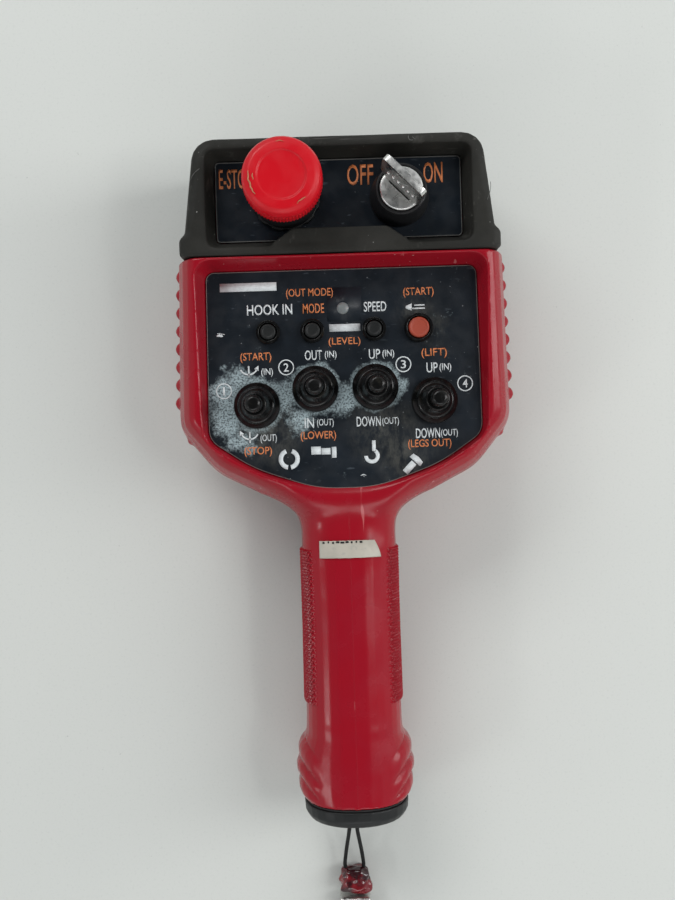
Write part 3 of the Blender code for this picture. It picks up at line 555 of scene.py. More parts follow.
CORD_DIAMETER = 1.7 * MM
CORD_EXITS = (-2.9 * MM, -0.85 * MM)
CORD_EXIT_Z = 27 * MM
CAP_END_Y = -140.5 * MM
KNOT_LOW, KNOT_HIGH = (Vector(c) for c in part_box("strap_knot"))
KNOT_MIDDLE = (KNOT_LOW + KNOT_HIGH) / 2


def strand(side):
    """One strand from its eye in the cap to the top of the knot."""
    start = Vector((CORD_EXITS[side], CAP_END_Y, CORD_EXIT_Z))
    inside = Vector((CORD_EXITS[side], CAP_END_Y + 2.6 * MM, CORD_EXIT_Z))
    leave = Vector((CORD_EXITS[side], CAP_END_Y - 9 * MM, CORD_EXIT_Z))
    top = Vector((KNOT_MIDDLE.x + (-4.2, 4.2)[side] * MM, KNOT_HIGH.y + 0.3 * MM, KNOT_MIDDLE.z + 0.5 * MM))
    arrive = top + Vector(((1.2, -1.2)[side], 12, 2.5)) * MM
    route = []
    for t in np.linspace(0, 1, 17).tolist():
        route.append(inside * (1 - t) ** 3 + leave * 3 * t * (1 - t) ** 2 + arrive * 3 * t * t * (1 - t)
                     + top * t**3)
    return start, route


def make_cord():
    """One cord: out of the left eye, round inside the wrapped knot, and back into the right eye."""
    exit_point, down = strand(0)
    _, up = strand(1)
    turn = []
    radius = (up[-1].x - down[-1].x) / 2
    for i in range(1, 8):
        angle = math.pi * i / 8
        turn.append(Vector((KNOT_MIDDLE.x - radius * math.cos(angle),
                            down[-1].y - 1.5 * MM - radius * math.sin(angle), down[-1].z - 0.3 * MM)))
    route = [p for p in down if p.y <= CAP_END_Y + 2.7 * MM] + turn + up[::-1]
    cord = piece("strap_cord", tube("strap_cord", route, CORD_DIAMETER / 2, 4), "battery_cap", "cord",
                 ("strap_cord_left", "strap_cord_right"))
    return cord, exit_point, length_of(route)


def make_knot():
    """Crumpled wrapping over the knot."""
    size = (KNOT_HIGH - KNOT_LOW) / 2
    bm = bmesh.new()
    bmesh.ops.create_icosphere(bm, subdivisions=5, radius=1.0)
    for v in bm.verts:
        direction = v.co.normalized()
        boxy = max(abs(direction.x), abs(direction.y), abs(direction.z)) ** -0.45
        fold = 0.5 * abs(noise.noise(direction * 1.7 + Vector((3, 1, 7))))
        crease = 0.34 * abs(noise.noise(direction * 2.6 + Vector((9, 4, 2)))) ** 0.7
        reach = 0.86 * boxy + fold - crease + 0.012 * noise.noise(direction * 9.0)
        tip = 1 + 0.45 * max(0.0, direction.x) * max(0.0, -direction.y)
        v.co = Vector((direction.x * size.x * reach * tip, direction.y * size.y * reach,
                       max(-1.0, direction.z * reach) * size.z))
        v.co += KNOT_MIDDLE
    mesh = mesh_from(bm, "strap_knot_wrap")
    points = vertices(mesh)
    put_vertices(mesh, relaxed(mesh, points, np.ones(len(points)), 8))
    mesh.shade_smooth()
    return piece("strap_knot_wrap", mesh, "battery_cap", "knot", ("strap_knot",))


BAND_X = -1.8 * MM
BAND_WIDTH = 13.0
BAND_THICK = 1.6
BAND_START_Y = -188.2
BAND_LENGTH = 126.0
BAND_HEIGHT = 13.0


def band_route():
    """Middle line of the wrist loop: along the floor, round, and back above, in metres."""
    low = BAND_THICK / 2 + 0.1
    start = (BAND_START_Y, low + 1.2)
    points = [start, (BAND_START_Y - 14, low)]
    for i in range(1, 6):
        points.append((BAND_START_Y - 14 - i * (BAND_LENGTH - 32) / 5, low))
    centre_y = BAND_START_Y - BAND_LENGTH + 6
    radius = (BAND_HEIGHT - BAND_THICK) / 2
    for i in range(1, 8):
        angle = math.radians(-90 - i * 22.5)
        points.append((centre_y + radius * math.cos(angle), low + radius + radius * math.sin(angle)))
    top = low + 2 * radius
    for i in range(1, 7):
        share = i / 6
        fall = share**3
        points.append((centre_y + share * (BAND_START_Y - centre_y),
                       top + (start[1] + 2.6 + BAND_THICK - top) * fall))
    return [Vector((BAND_X, y * MM, z * MM)) for y, z in points]


def tube(name, route, radius, resolution):
    """A round wire through the points, as a curve."""
    curve = bpy.data.curves.new(name, "CURVE")
    curve.dimensions = "3D"
    curve.bevel_depth = radius
    curve.bevel_resolution = resolution
    curve.use_fill_caps = True
    spline = curve.splines.new("POLY")
    spline.points.add(len(route) - 1)
    for point, co in zip(spline.points, route):
        point.co = (*co, 1)
    return curve


def rounded_through(points, steps=8):
    """A smooth line through the points."""
    line = []
    for i in range(len(points) - 1):
        a, b = points[max(i - 1, 0)], points[i]
        c, d = points[i + 1], points[min(i + 2, len(points) - 1)]
        for k in range(steps):
            t = k / steps
            line.append(0.5 * (2 * b + (c - a) * t + (2 * a - 5 * b + 4 * c - d) * t * t
                               + (3 * b - a - 3 * c + d) * t**3))
    return line + [points[-1]]


def make_band():
    """Woven wrist loop with a ribbed face and thick bound edges."""
    line = rounded_through(band_route())
    half = BAND_WIDTH / 2
    section = []
    for i in range(25):
        x = -half + BAND_WIDTH * i / 24
        rise = BAND_THICK / 2 * min(1.0, 2.2 * (1 - abs(x) / half) + 0.25)
        groove = 0.10 * math.cos(x * 2 * math.pi / 1.3) if abs(x) < 4.6 else 0.12
        section.append((x, rise - 0.12 + groove))
    section += [(x, -h) for x, h in reversed(section)]
    points = []
    for i, here in enumerate(line):
        along = (line[min(i + 1, len(line) - 1)] - line[max(i - 1, 0)]).normalized()
        up = Vector((0, -along.z, along.y))
        wobble = 0.35 * noise.noise(here * 55)
        for x, h in section:
            points.append(here + Vector(((x + wobble) * MM, 0, 0)) + up * (h * MM))
    columns = len(section)
    faces = grid_faces(len(line), columns, True)
    faces += [tuple(range(columns)), tuple(range((len(line) - 1) * columns, len(line) * columns))]
    band = piece("wrist_band", mesh_of("wrist_band", points, faces, 50), "battery_cap", "band",
                 ("strap_band",))


def make_crimp():
    """Dented metal clamp where the cord meets the band."""
    mesh = remeshed("strap_crimp", 0.3, 3)
    points = vertices(mesh)
    for i, p in enumerate(points):
        points[i, 2] += 0.25 * MM * noise.noise(Vector(p) * 600)
    put_vertices(mesh, points)
    return piece("strap_crimp_metal", mesh, "battery_cap", "plated", ("strap_crimp",))


def make_strap():
    cord, exit_point, length = make_cord()
    on_it = [make_knot(), make_crimp()]
    make_band()


# -------- casing

HANDLE_HALF = 20.0
HANDLE_ROUNDNESS = 2.6
HANDLE_TOP_Z = 49.5
MOULD_LINE_X = 0.3
MOULD_LINE_Y = (-10.0, -130.5)
NECK_ROUNDS = 160
EAR_LOBES = ((-115.3, -104.6), (-122.6, -115.3), (-131.4, -122.6))  # in Y, from the head's side on
EAR_SWELL = 1.5
EAR_SLANT = 0.9  # how far the folds run towards the cap, per millimetre inwards
SIDE_RIBS = 8
SIDE_RIB_FIRST_Y = 89.5
SIDE_RIB_PITCH = 7.55
SIDE_RIB_RISE = 1.4
SIDE_RIB_WIDTH = 2.3
HEAD_CORNER = (65.6, 20.0)
GRIP_Y = (-91.0, -25.0)
GRIP_SPREAD = math.radians(50)
GRIP_ARC = 23.75  # millimetres along the surface per radian
GRIP_BASE = 0.6
KNURL_PITCH = 2.5
KNURL_RISE = 1.15
TRIGGER_PIVOT = np.array((3.0, 20.0)) * MM  # Y and Z of the pin
TRIGGER_BORE = 1.95 * MM
TRIGGER_BORE_REACH = 2.3 * MM  # points nearer the pin than this belong to the bore
TRIGGER_GROOVE_PITCH = 3.2


def make_mould_line(mesh):
    """Fine seam down the front of the handle, laid on the moulding's own surface."""
    points, faces = [], [tuple(p.vertices) for p in mesh.polygons]
    tree = BVHTree.FromPolygons([v.co for v in mesh.vertices], faces)
    rows = 240
    for r in range(rows):
        y = MOULD_LINE_Y[0] + (MOULD_LINE_Y[1] - MOULD_LINE_Y[0]) * r / (rows - 1)
        for dx, dz in ((-0.22, -0.05), (-0.1, 0.05), (0.1, 0.05), (0.22, -0.05)):
            hit = tree.ray_cast(Vector((MOULD_LINE_X + dx, y, 90)) * MM, Vector((0, 0, -1)))[0]
            points.append(hit + Vector((0, 0, dz * MM)))
    seam = mesh_of("mould_line", points, grid_faces(rows, 4, False))
    piece("mould_line", seam, "housing", "red")


def make_housing():
    """Red moulding, with lobed ears at the end of the handle and ribs along the head's sides."""
    mesh = remeshed("main_housing", 0.7, 4)
    points = vertices(mesh) / MM
    x, y, z = points.T
    neck = step(y, -26, -18) * (1 - step(y, -3, 5)) * step(z, 22, 32) * (1 - step(np.abs(x), 28, 36))
    points = relaxed(mesh, points, neck, NECK_ROUNDS)
    put_vertices(mesh, points * MM)
    outward = normals(mesh)
    x, y, z = points.T
    sideways = step(np.abs(outward[:, 0]), 0.3, 0.6) * (outward[:, 0] * x > 0)
    grow = np.zeros(len(points))
    folded = y + EAR_SLANT * np.clip(23.0 - np.abs(x), 0, 8)
    for low, high in EAR_LOBES:
        share = np.clip((folded - low) / (high - low), 0, 1)
        grow += np.where((folded > low) & (folded < high), EAR_SWELL * np.sin(math.pi * share) ** 0.6, 0.0)
    in_ears = (folded > EAR_LOBES[-1][0]) & (folded < EAR_LOBES[0][1])
    on_ears = step(np.abs(x), 13.5, 18.5) * step(z, 2, 8) * (outward[:, 0] * x > 0) * step(y, -131.6, -129)
    grow = (grow - 0.6 * in_ears) * on_ears * step(np.abs(outward[:, 0]), 0.05, 0.4)
    between = step(z, 15, 19) * (1 - step(z, 37, 41))
    band = between * (np.abs(x) > 60)
    for i in range(SIDE_RIBS):
        along = y - SIDE_RIB_FIRST_Y + SIDE_RIB_PITCH * i
        grow += SIDE_RIB_RISE * bell(along, SIDE_RIB_WIDTH) * band * sideways
    corner = np.hypot(np.abs(x) - HEAD_CORNER[0], y - HEAD_CORNER[1])
    grow += SIDE_RIB_RISE * bell(corner, 1.8) * between
    points += outward * grow[:, None]
    put_vertices(mesh, points * MM)
    make_mould_line(mesh)
    piece("housing_skin", mesh, "housing", "red", ("main_housing",))


def handle_surface(angle, y, grow):
    """A point of the handle's plain stretch, grown outwards, in millimetres."""
    low = float(np.interp(y, (-60, -46, -33, -20), (4.5, 6, 11, 14)))
    half_depth = (HANDLE_TOP_Z - low) / 2
    power = 2 / HANDLE_ROUNDNESS
    c, s = math.cos(angle), math.sin(angle)
    half = float(np.interp(y, (-100, -60), (20.35, HANDLE_HALF)))
    return Vector((math.copysign(abs(c) ** power, c) * (half + grow), y,
                   low + half_depth + math.copysign(abs(s) ** power, s) * (half_depth + grow))) * MM


def make_grip_strips():
    """Diamond knurling along each side of the handle, as rows of blunted pyramids."""
    rows, columns = 340, 96
    for side, word in ((1, "right"), (-1, "left")):
        points = []
        for r in range(rows):
            y = GRIP_Y[0] + (GRIP_Y[1] - GRIP_Y[0]) * r / (rows - 1)
            for c in range(columns):
                share = c / (columns - 1)
                spread = GRIP_SPREAD * (2 * share - 1)
                angle = spread if side > 0 else math.pi - spread
                across = spread * GRIP_ARC
                u = ((y + across) / KNURL_PITCH) % 1.0
                v = ((y - across) / KNURL_PITCH) % 1.0
                peak = min(u, 1 - u, v, 1 - v) * 2
                edge = min(1.0, 14 * share, 14 * (1 - share), r / 6, (rows - 1 - r) / 6)
                grow = -0.45 + edge * (GRIP_BASE + KNURL_RISE * min(peak, 0.75))
                points.append(handle_surface(angle, y, grow))
        mesh = mesh_of(f"grip_strip_{word}", points, grid_faces(rows, columns, False), 25)
        piece(f"grip_strip_{word}", mesh, "housing", "red")


def make_hood():
    mesh = remeshed("top_hood", 0.6, 5)
    points = vertices(mesh)
    outward = normals(mesh)
    wave = np.array([noise.noise(Vector(p) * 90) for p in points])
    points += outward * (0.10 * MM * wave)[:, None]
    points[:, 2] = np.maximum(points[:, 2], 0.0)
    put_vertices(mesh, points)
    piece("hood_skin", mesh, "housing", "hood", ("top_hood",))


def shape_trigger(mesh):
    """Grooves under the finger, and a bore that stays clear of the pin when the trigger turns."""
    points = vertices(mesh)
    outward = normals(mesh)
    groove = 0.25 * MM * np.sin(points[:, 1] / MM * 2 * math.pi / TRIGGER_GROOVE_PITCH)
    points += outward * (groove * (outward[:, 2] < -0.5))[:, None]
    from_pivot = points[:, 1:] - TRIGGER_PIVOT
    reach = np.hypot(*from_pivot.T)
    wider = np.maximum(1.0, TRIGGER_BORE / np.maximum(reach, 1e-6))
    wider = np.where(reach < TRIGGER_BORE_REACH, wider, 1.0)
    points[:, 1:] = TRIGGER_PIVOT + from_pivot * wider[:, None]
    put_vertices(mesh, points)


def make_covers():
    mesh = remeshed("end_cap", 0.5, 4)
    piece("end_cap_skin", mesh, "battery_cap", "cap", ("end_cap",))
    mesh = remeshed("trigger", 0.4, 4)
    shape_trigger(mesh)
    piece("trigger_skin", mesh, "speed_trigger", "black", ("trigger",))
    piece("rear_cover_skin", refined("rear_cover", 0.5), "housing", "red", ("rear_cover",))
    corners = [(0, 20), (1.4, 20), (1.4, 5.6), (3.0, 5.5), (2.8, 4.5), (1.9, 4.1), (1.3, 4.25), (1.1, 5.2),
               (0, 5.2)]

    def cross(angle, r, z):
        return 0.45 * abs(math.cos(2 * angle)) - 0.3 if z < 5.3 and r < 2.0 else 0.0

    for i in range(1, 5):
        node = f"cover_screw_{i}"
        turned(f"screw_{i}", corners, middle(node), "housing", "steel", "steel", node, steps=48,
               ripple=cross, radius=0.2)


# -------- controls

KEY_ANGLE = math.radians(-45.5)  # the bow's direction in the off position
MUSHROOM_TOP = 89.82


def make_stop_button():
    x, y = middle("estop_mushroom")
    corners = [(0, 89.2), (8.9, 89.2), (9.5, 89.8), (12.6, 89.5), (14.3, 88.3), (15.1, 86.3),
               (15.2, 85.4), (15.2, 84.0), (14.8, 83.5), (15.2, 83.0), (15.2, 77.3), (14.3, 76.2),
               (11.5, 75.3), (6.5, 75.3), (6.5, 79.2), (0, 79.2)]

    def flutes(angle, r, z):
        return 0.22 * math.cos(72 * angle) - 0.1 if r > 14.9 and 77 < z < 83.2 else 0.0

    turned("stop_mushroom", corners, (x, y), "stop_head", "mushroom", "red_mushroom", "estop_mushroom",
           steps=576, ripple=flutes, radius=0.6)

    corners = [(12.1, 69.9), (13.3, 69.1), (13.2, 57.3), (14.1, 57.3), (14.1, 54.4), (10.6, 54.4),
               (10.6, 47.2), (6.6, 47.2), (6.6, 69.9)]

    def notches(angle, r, z):
        return -0.9 * bell(math.remainder(angle, math.pi / 6), 0.09) if r > 13.7 else 0.0

    turned("stop_collar", corners, (x, y), "housing", "black", "black_plastic", "estop_collar", steps=192,
           ring=True, ripple=notches)
    corners = [(0, 79), (5.7, 79), (6.0, 78.6), (6.0, 51.9), (0, 51.9)]
    turned("stop_stem_skin", corners, (x, y), "stop_stem", "black", "black_plastic", "estop_plunger",
           steps=48)
    marks = []
    for start, sweep, radius, width in ((172, 44, 12.2, 0.6), (176, 14, 10.7, 0.4), (296, 20, 12.1, 0.35),
                                        (84, 14, 12.3, 0.25)):
        marks.append(arc_strip(x / MM, y / MM, radius, width, start, sweep, MUSHROOM_TOP, ragged=0.5))
    ink("stop_marks", marks, "worn_mark", "red_mushroom", "stop_head")


def arc_strip(x, y, radius, width, start, sweep, z, ragged=0.0, steps=24):
    """Points and faces of a thin flat arc, in millimetres. It is rounded off at its ends."""
    points = []
    for i in range(steps + 1):
        angle = math.radians(start + sweep * i / steps)
        taper = math.sin(math.pi * (0.04 + 0.92 * i / steps)) ** 0.5 if ragged else 1.0
        wobble = ragged * noise.noise(Vector((angle * 9, radius, 3)))
        for sign in (-1, 1):
            r = radius + wobble + sign * width / 2 * taper
            points.append((x + r * math.cos(angle), y + r * math.sin(angle), z))
    return points, grid_faces(steps + 1, 2, False)


def joined(name, shapes, thick=0.03):
    """Flat shapes, each (points in millimetres, faces), as one mesh of thin raised ink."""
    points, faces = [], []
    for some, their in shapes:
        faces += [tuple(i + len(points) for i in face) for face in their]
        points += some
    mesh = mesh_of(name, [Vector(p) * MM for p in points], faces)
    obj = placed("work", mesh)
    for polygon in mesh.polygons:
        if polygon.normal.z < 0:
            polygon.flip()
    modify(obj, "SOLIDIFY", thickness=thick * MM, offset=1)
    return evaluated(obj)


def make_key_switch():
    x, y = middle("key_bezel")
    corners = [(9.0, 69.1), (9.7, 69.1), (10.1, 68.7), (10.3, 66.6), (10.15, 66.2), (11.9, 57.0),
               (11.9, 54.4), (10.6, 54.4), (10.6, 47.2), (9.0, 47.2)]
    turned("key_ring", corners, (x, y), "housing", "black", "black_plastic", "key_bezel", ring=True)
    piece("key_rotor_skin", refined("key_rotor", 0.15), "key_barrel", "plated", ("key_rotor",))
    piece("key_skin", refined("key", 0.3), "key_blade", "plated", ("key",))
    bm = bmesh.new()
    made = bmesh.ops.create_cone(bm, cap_ends=True, segments=40, radius1=7.6 * MM, radius2=7.0 * MM,
                                 depth=1.0 * MM)
    bmesh.ops.rotate(bm, matrix=Matrix.Rotation(math.radians(-90), 3, "X"), verts=made["verts"])
    bmesh.ops.translate(bm, vec=(0, 1.75 * MM, 79.5 * MM), verts=made["verts"])
    for i in range(6):
        made = bmesh.ops.create_uvsphere(bm, u_segments=12, v_segments=8, radius=0.75 * MM)
        bmesh.ops.translate(bm, vec=((-6.4 + 2.55 * i) * MM, -1.2 * MM, 78.6 * MM), verts=made["verts"])
    turn = Matrix.Rotation(KEY_ANGLE, 4, "Z")
    bmesh.ops.transform(bm, matrix=Matrix.Translation((x, y, 0)) @ turn, verts=bm.verts)
    piece("key_boss", shade(mesh_from(bm, "key_boss")), "key_blade", "plated")


def make_buttons():
    for i in range(1, 5):
        node = f"push_button_{i}"
        low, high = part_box(node)
        r = (high[0] - low[0]) / 2 / MM - 1.4
        corners = [(0, 55.0), (r - 1.3, 55.05), (r - 0.7, 55.35), (r - 0.2, 55.1), (r, 54.4), (r, 46.7),
                   (r + 1.3, 46.6), (r + 1.3, 45.7), (0, 45.7)]
        look, slot = ("orange", "orange_button") if i == 4 else ("button", "grey_button")
        turned(f"button_cap_{i}", corners, middle(node), f"button_{i}", look, slot, node, steps=64)
        inner, outer = r + 0.4, r + 1.7
        corners = [(outer - 0.5, 54.8), (outer, 54.1), (outer, 52.1), (inner, 52.1), (inner, 54.8)]
        turned(f"button_guard_{i}", corners, middle(node), "housing", "boot", "boot_rubber",
               f"button_ring_{i}", steps=64, ring=True)
    corners = [(0, 52.9), (1.4, 52.75), (2.3, 52.3), (2.7, 51.4), (2.7, 43.4), (0, 43.4)]
    turned("led_dome", corners, middle("status_led"), "housing", "lens", "led_lens", "status_led", steps=48)


def make_toggles():
    stick = [(0, 76.0), (2.3, 75.9), (3.2, 75.0), (3.4, 73.6), (3.4, 68.6), (2.0, 66.7), (2.0, 53.4),
             (2.9, 51.6), (2.6, 49.4), (1.2, 48.2), (0, 48.1)]
    bellows = [(3.3, 67.2), (4.4, 67.4), (4.85, 66.6), (4.75, 65.2), (4.2, 64.4), (4.6, 62.4), (5.5, 59.6),
               (6.6, 58.0), (7.2, 57.7), (7.5, 56.6), (8.6, 55.4), (9.3, 54.7), (9.5, 52.1), (8.3, 52.1),
               (7.0, 54.6), (5.2, 57.4), (3.8, 61.2), (2.9, 64.6)]
    for i in range(1, 5):
        node = f"toggle_lever_{i}"
        x, y = middle(node)
        turned(f"lever_stick_{i}", stick, (x, y), f"lever_{i}", "boot", "black_plastic", node, steps=48,
               radius=0.9)
        boot = turned(f"lever_boot_{i}", bellows, (x, y), None, "boot", "boot_rubber", f"toggle_boot_{i}",
                      steps=72, ring=True, radius=0.8)
        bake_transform(boot)


# -------- print on the panel

PANEL_TOP = 52.0
HOOD_TOP = 54.0
HOOD_RIM_TOP = 64.0
LIFT = 0.02
INK_Z = PANEL_TOP + LIFT


def word(text, x, y, height, width, z):
    """Lettering squeezed to a width and height, centred on a point, as points and faces in millimetres."""
    curve = bpy.data.curves.new("word", "FONT")
    curve.body = text
    curve.resolution_u = 3
    curve.offset = 0.01
    mesh = evaluated(placed("work", curve))
    points = vertices(mesh)
    low, high = points.min(axis=0), points.max(axis=0)
    scale = np.array((width, height, 0)) / np.maximum(high - low, 1e-9)
    points = (points - (low + high) / 2) * scale + np.array((x, y, z + LIFT))
    faces = [tuple(p.vertices) for p in mesh.polygons]
    bpy.data.meshes.remove(mesh)
    return [tuple(p) for p in points], faces


def words(rows, z=PANEL_TOP):
    return [word(*row, z) for row in rows]


def flat(outline, x, y, z=PANEL_TOP, turn=0.0):
    """A filled outline, turned and moved, in millimetres."""
    c, s = math.cos(turn), math.sin(turn)
    points = [(x + a * c - b * s, y + a * s + b * c, z + LIFT) for a, b in outline]
    return points, [tuple(range(len(points)))]


def bar(x, y, width, height, z=PANEL_TOP):
    w, h = width / 2, height / 2
    return flat([(-w, -h), (w, -h), (w, h), (-w, h)], x, y, z)


def arrow_arc(x, y, radius, start, sweep):
    """An arc that ends in an arrowhead."""
    shapes = [arc_strip(x, y, radius, 0.6, start, sweep, INK_Z)]
    end = math.radians(start + sweep)
    heading = end + math.copysign(math.pi / 2, sweep)
    tip = (x + radius * math.cos(end), y + radius * math.sin(end))
    shapes.append(flat([(-0.3, -1.0), (1.7, 0), (-0.3, 1.0)], *tip, turn=heading))
    return shapes


def make_print():
    """Generic legends: short function words, numbers and pictograms in two inks."""
    white = words((  # text, middle in X and Y, height and width
        ("HOOK IN", -29.4, 72.9, 4.3, 18.4), ("SPEED", 13.4, 72.9, 4.1, 9.2),
        ("OUT", -12.2, 53.9, 4.1, 7.0), ("UP", 12.6, 53.6, 4.1, 4.6), ("UP", 35.8, 47.4, 4.1, 4.6),
        ("IN", -14.7, 26.5, 4.1, 3.8), ("DOWN", 9.4, 26.4, 4.1, 9.8), ("DOWN", 33.3, 20.9, 4.1, 9.8),
    ))
    white += [
        bar(-37.8, 82.3, 23.0, 3.4), bar(-8.3, 14.8, 3.7, 2.6), bar(-12.3, 15.2, 3.9, 3.2),
        bar(-5.0, 14.3, 1.9, 4.4),
        arc_strip(10.3, 12.4, 2.4, 1.5, 55, -235, INK_Z),
        flat([(-0.75, -1.0), (0.75, -1.4), (0.75, 3.2), (-0.75, 3.2)], 11.2, 15.4),
        flat([(-4.4, -1.3), (1.0, -1.3), (1.0, 1.3), (-4.4, 1.3)], 26.6, 8.4, turn=0.8),
        flat([(-1.1, -2.9), (0.9, -2.6), (1.3, 0), (0.9, 2.6), (-1.1, 2.9)], 28.4, 10.3, turn=0.8),
        bar(31.0, 71.6, 5.2, 0.55), bar(31.4, 72.9, 4.2, 0.55),
        flat([(0, 0.5), (2.4, 1.5), (2.4, -1.5), (0, -0.5)], 25.9, 72.2),
        *arrow_arc(-38.6, 50.4, 3.6, 205, 130), *arrow_arc(-39.0, 24.2, 3.6, 335, -130),
        bar(-38.6, 48.0, 0.6, 4.6), bar(-39.0, 21.4, 0.6, 4.6),
        arc_strip(-23.3, 12.1, 3.4, 1.8, 70, -150, INK_Z),
        arc_strip(-23.3, 12.1, 3.4, 1.8, 110, 150, INK_Z),
    ]
    for number, x, y, width in (("2", -23.4, 49.3, 2.1), ("3", 24.2, 49.1, 2.1), ("4", 49.0, 40.6, 2.1),
                                ("1", -48.9, 40.4, 0.8)):
        white.append(arc_strip(x, y, 3.0, 0.45, 0, 360, INK_Z, steps=40))
        white.append(word(number, x, y, 3.4, width, PANEL_TOP))
    ink("print_white", white, "white", "panel_film")

    amber = words((
        ("(OUT MODE)", -13.0, 79.0, 4.2, 19.0), ("MODE", -11.6, 72.9, 4.0, 8.6),
        ("(START)", 31.2, 78.1, 4.1, 12.4), ("(LEVEL)", 0.6, 58.9, 3.8, 13.0),
        ("(START)", -35.6, 53.6, 4.1, 12.6), ("(LIFT)", 36.8, 53.2, 4.1, 10.4),
        ("(STOP)", -35.8, 15.4, 4.1, 11.2), ("(LOWER)", -11.2, 21.0, 4.1, 14.4),
        ("(LEGS OUT)", 33.9, 16.4, 4.1, 17.6),
    ))
    amber += words((("E-STOP", -41.6, 125.8, 8.0, 13.0), ("OFF", 9.0, 126.0, 8.4, 10.6),
                    ("ON", 38.4, 126.0, 8.4, 7.8)), HOOD_TOP)
    ink("print_amber", amber, "amber", "panel_film")

    small = words((
        ("(IN)", -5.2, 53.7, 3.6, 4.8), ("(OUT)", -8.2, 26.2, 3.6, 6.8), ("(IN)", 18.2, 53.4, 3.6, 4.8),
        ("(OUT)", 18.3, 26.0, 3.6, 6.8), ("(IN)", 41.2, 47.2, 3.6, 4.8), ("(OUT)", 42.0, 20.5, 3.6, 6.8),
        ("(OUT)", -31.4, 20.6, 3.6, 6.6), ("(IN)", -31.2, 47.4, 3.6, 4.8),
    ))
    ink("print_small", [*small, bar(0.9, 64.7, 12.6, 3.0)], "white", "panel_film")
    window = [bar(0.9, 74.2, 14.0, 13.8, PANEL_TOP - 0.01)]
    ink("print_window", window, "window", "panel_film", thick=0.015)


def outline_of(node):
    """The outer edge of a CAD plate's face, as points in order around it."""
    bm = bmesh.new()
    bm.from_mesh(nodes[node].data)
    bmesh.ops.remove_doubles(bm, verts=bm.verts, dist=WELD_CAD)
    top = max(v.co.z for v in bm.verts) - 0.00001
    rim = [v.co.xy for v in bm.verts if v.co.z > top]
    middle_point = sum(rim, Vector((0, 0))) / len(rim)
    hull = bmesh.new()
    for p in rim:
        hull.verts.new((*p, 0))
    bmesh.ops.convex_hull(hull, input=hull.verts)
    corners = [v.co.xy.copy() for v in hull.verts if v.link_faces]
    bm.free()
    hull.free()
    return sorted(corners, key=lambda p: math.atan2(*(p - middle_point).yx))


def make_edge(name, node, face_z, near, far, look):
    """Thin pale line along the edge of a plate."""
    outline = outline_of(node)
    count = len(outline)
    points = []
    for distance in (near, far):
        for i, corner in enumerate(outline):
            along = (outline[(i + 1) % count] - outline[i - 1]).normalized()
            inward = Vector((-along.y, along.x)) * distance * MM
            points.append(((corner.x + inward.x) / MM, (corner.y + inward.y) / MM, face_z + LIFT))
    ink(name, [(points, grid_faces(2, count, True))], look, "panel_film")


def make_scuffs():
    """Pale rubbed marks on the hood's rim, and chips on the panel."""
    marks = [arc_strip(*mark, HOOD_RIM_TOP) for mark in (
        (29.3, 137.6, 1.2, 0.35, 150, 150), (31.2, 138.3, 1.5, 0.3, 200, 60),
        (-50.0, 120.0, 9.0, 0.22, 120, 40), (48.0, 118.0, 12.0, 0.2, -30, 35),
        (-20.0, 152.0, 14.0, 0.2, 250, 30),
    )]
    ink("hood_scuffs", marks, "scuff", "hood_rubber")
    chips = [
        arc_strip(-50.2, 60.0, 3.0, 1.0, 60, 50, INK_Z, ragged=0.4),
        arc_strip(6.6, 2.6, 2.2, 0.35, 60, 60, INK_Z, ragged=0.2),
        arc_strip(-50.5, 55.8, 8.0, 0.3, 70, 24, INK_Z, ragged=0.3),
    ]
    ink("panel_chips", chips, "white", "panel_film")


def handle_front(x):
    """Height of the handle's front under the tape, in millimetres."""
    fall = (1 - (abs(x) / HANDLE_HALF) ** HANDLE_ROUNDNESS) ** (1 / HANDLE_ROUNDNESS)
    return 31.8 + 18.35 * fall


TAPE_LEFT = -12.3
TAPE_RIGHT = 12.9
TAPE_LOW_Y = -29.0
TAPE_HEIGHT = 7.1
TAPE_THICK = 0.14


def make_tape():
    """Strip of paper tape over the handle, with a torn and lifted corner and dark dashes along it."""
    rows, columns = 15, 61
    points = []
    for r in range(rows):
        across = r / (rows - 1)
        for c in range(columns):
            along = c / (columns - 1)
            right_end = TAPE_RIGHT - 2.6 * across**1.5
            x = TAPE_LEFT + (right_end - TAPE_LEFT) * along
            y = TAPE_LOW_Y + TAPE_HEIGHT * across + 0.10 * noise.noise(Vector((along * 20, across * 3, 1)))
            lift = 1.1 * max(0.0, along - 0.86) / 0.14 * across**2
            wrinkle = 0.06 * noise.noise(Vector((x * 0.6, y * 0.6, 4)))
            points.append(Vector((x, y, handle_front(x) + 0.35 + lift + wrinkle)) * MM)
    obj = placed("work", mesh_of("tape", points, grid_faces(rows, columns, False)))
    modify(obj, "SOLIDIFY", thickness=TAPE_THICK * MM)
    piece("tape_strip", evaluated(obj), "housing", "tape", ("tape_label",))
    dashes = []
    for i in range(9):
        x = -10.4 + 1.9 * i
        length = 0.55 + 0.25 * math.sin(5.1 * i)
        dashes.append(bar(x, -22.5 - 0.1 * math.cos(3 * i), 2 * length, 0.8, handle_front(x) + 0.44))
    ink("tape_dashes", dashes, "black", "white_tape")


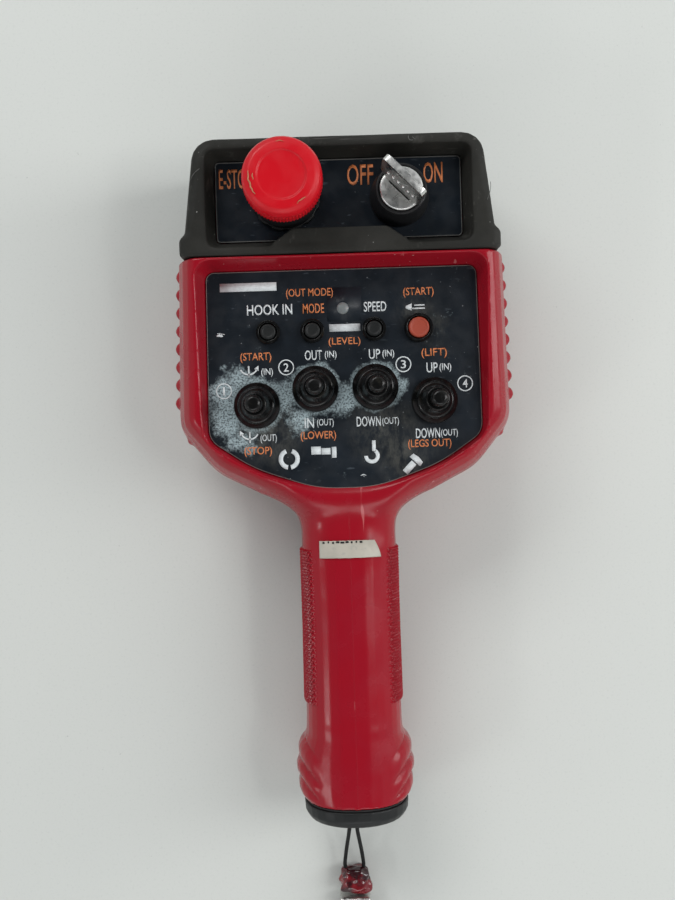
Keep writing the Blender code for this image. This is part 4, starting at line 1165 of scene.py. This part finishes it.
def dress_cad_nodes():
    """Better finishes for the CAD nodes that stay."""
    each = range(1, 5)
    for look, names in (
        ("panel", ["panel_plate"]), ("hood_film", ["hood_plate"]), ("seal", ["cover_gasket", "cap_seal"]),
        ("board", ["main_board", "button_board"]), ("steel", ["radio_module", "trigger_pin"]),
        ("black", ["estop_contact_block", "key_switch_body", "antenna", "battery_holder",
                   "trigger_sensor", *(f"toggle_body_{i}" for i in each)]),
        ("cell", [f"battery_cell_{i}" for i in each]),
    ):
        for name in names:
            mesh = nodes[name].data
            if not mesh.materials:
                mesh.materials.append(None)
            for i in range(len(mesh.materials)):
                mesh.materials[i] = looks[look]


def make_spring():
    turns, per_turn, radius, wire = 3, 24, 3.0 * MM, 0.4 * MM
    low, high = (Vector(c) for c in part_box("trigger_spring"))
    count = turns * per_turn
    route = []
    for i in range(count + 1):
        angle = 2 * math.pi * i / per_turn
        z = low.z + wire + (high.z - low.z - 2 * wire) * i / count
        route.append((radius * math.cos(angle), (low.y + high.y) / 2 + radius * math.sin(angle), z))
    obj = placed("work", tube("return_spring", route, wire, 3))
    spring = piece("return_spring", evaluated(obj), "housing", "steel", ("trigger_spring",))
    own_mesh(spring)


# -------- studio


def make_studio():
    bm = bmesh.new()
    bmesh.ops.create_grid(bm, x_segments=1, y_segments=1, size=12)
    floor = placed("floor", mesh_from(bm, "floor"))
    s = Shader("floor_paper", (0.60, 0.615, 0.585), 0.7)
    s.patches((0.56, 0.58, 0.555), 0.35, 0.7, 0.5, 5, 3)
    s.patches((0.42, 0.44, 0.42), 0.55, 0.8, 0.3, 900, 3)
    s.patches((0.3, 0.31, 0.3), 0.76, 0.8, 0.5, 380, 2)
    s.grain(0.1, 0.0002, 700, 4)
    floor.data.materials.append(s.done())
    scene.world = bpy.data.worlds.new("studio")
    scene.world.use_nodes = True
    tree = scene.world.node_tree
    background = tree.nodes["Background"]
    background.inputs["Color"].default_value = (0.93, 0.97, 1.0, 1)
    direction = tree.nodes.new("ShaderNodeTexCoord")
    height = tree.nodes.new("ShaderNodeSeparateXYZ")
    fade = tree.nodes.new("ShaderNodeMapRange")
    for socket, number in zip(RANGE_SOCKETS, (0.35, 0.95, 0.68, 0.12)):
        fade.inputs[socket].default_value = number
    tree.links.new(direction.outputs["Generated"], height.inputs[0])
    tree.links.new(height.outputs["Z"], fade.inputs["Value"])
    tree.links.new(fade.outputs[0], background.inputs["Strength"])
    scene.view_settings.view_transform = "Standard"
    for name, at, size, power in (
        ("key_light", (-0.55, 1.05, 1.0), (1.0, 0.5), 10),
        ("fill_light", (1.15, 0.15, 0.9), (0.5, 1.4), 12),
        ("low_light", (-1.2, -0.62, 0.95), (0.4, 0.12), 2.5),
        ("front_light", (0.1, -1.25, 0.85), (1.3, 0.4), 5),
        ("streak_light", (0.62, -0.12, 1.0), (0.16, 0.05), 0.6),
    ):
        data = bpy.data.lights.new(name, "AREA")
        data.shape = "RECTANGLE"
        data.size, data.size_y = size
        data.energy = power
        light = placed(name, data)
        light.location = at
        light.rotation_euler = (Vector(at) - Vector((0, 0, 0.03))).to_track_quat("Z", "Y").to_euler()


looks = make_materials()
make_camera()
make_strap()
make_housing()
make_grip_strips()
make_hood()
make_covers()
make_stop_button()
make_key_switch()
make_buttons()
make_toggles()
make_print()
make_edge("panel_edge", "panel_plate", PANEL_TOP, 0.05, 0.35, "pale_edge")
make_edge("hood_edge", "hood_plate", HOOD_TOP, 0.05, 0.5, "scuff")
make_scuffs()
make_tape()
make_spring()
dress_cad_nodes()
make_studio()
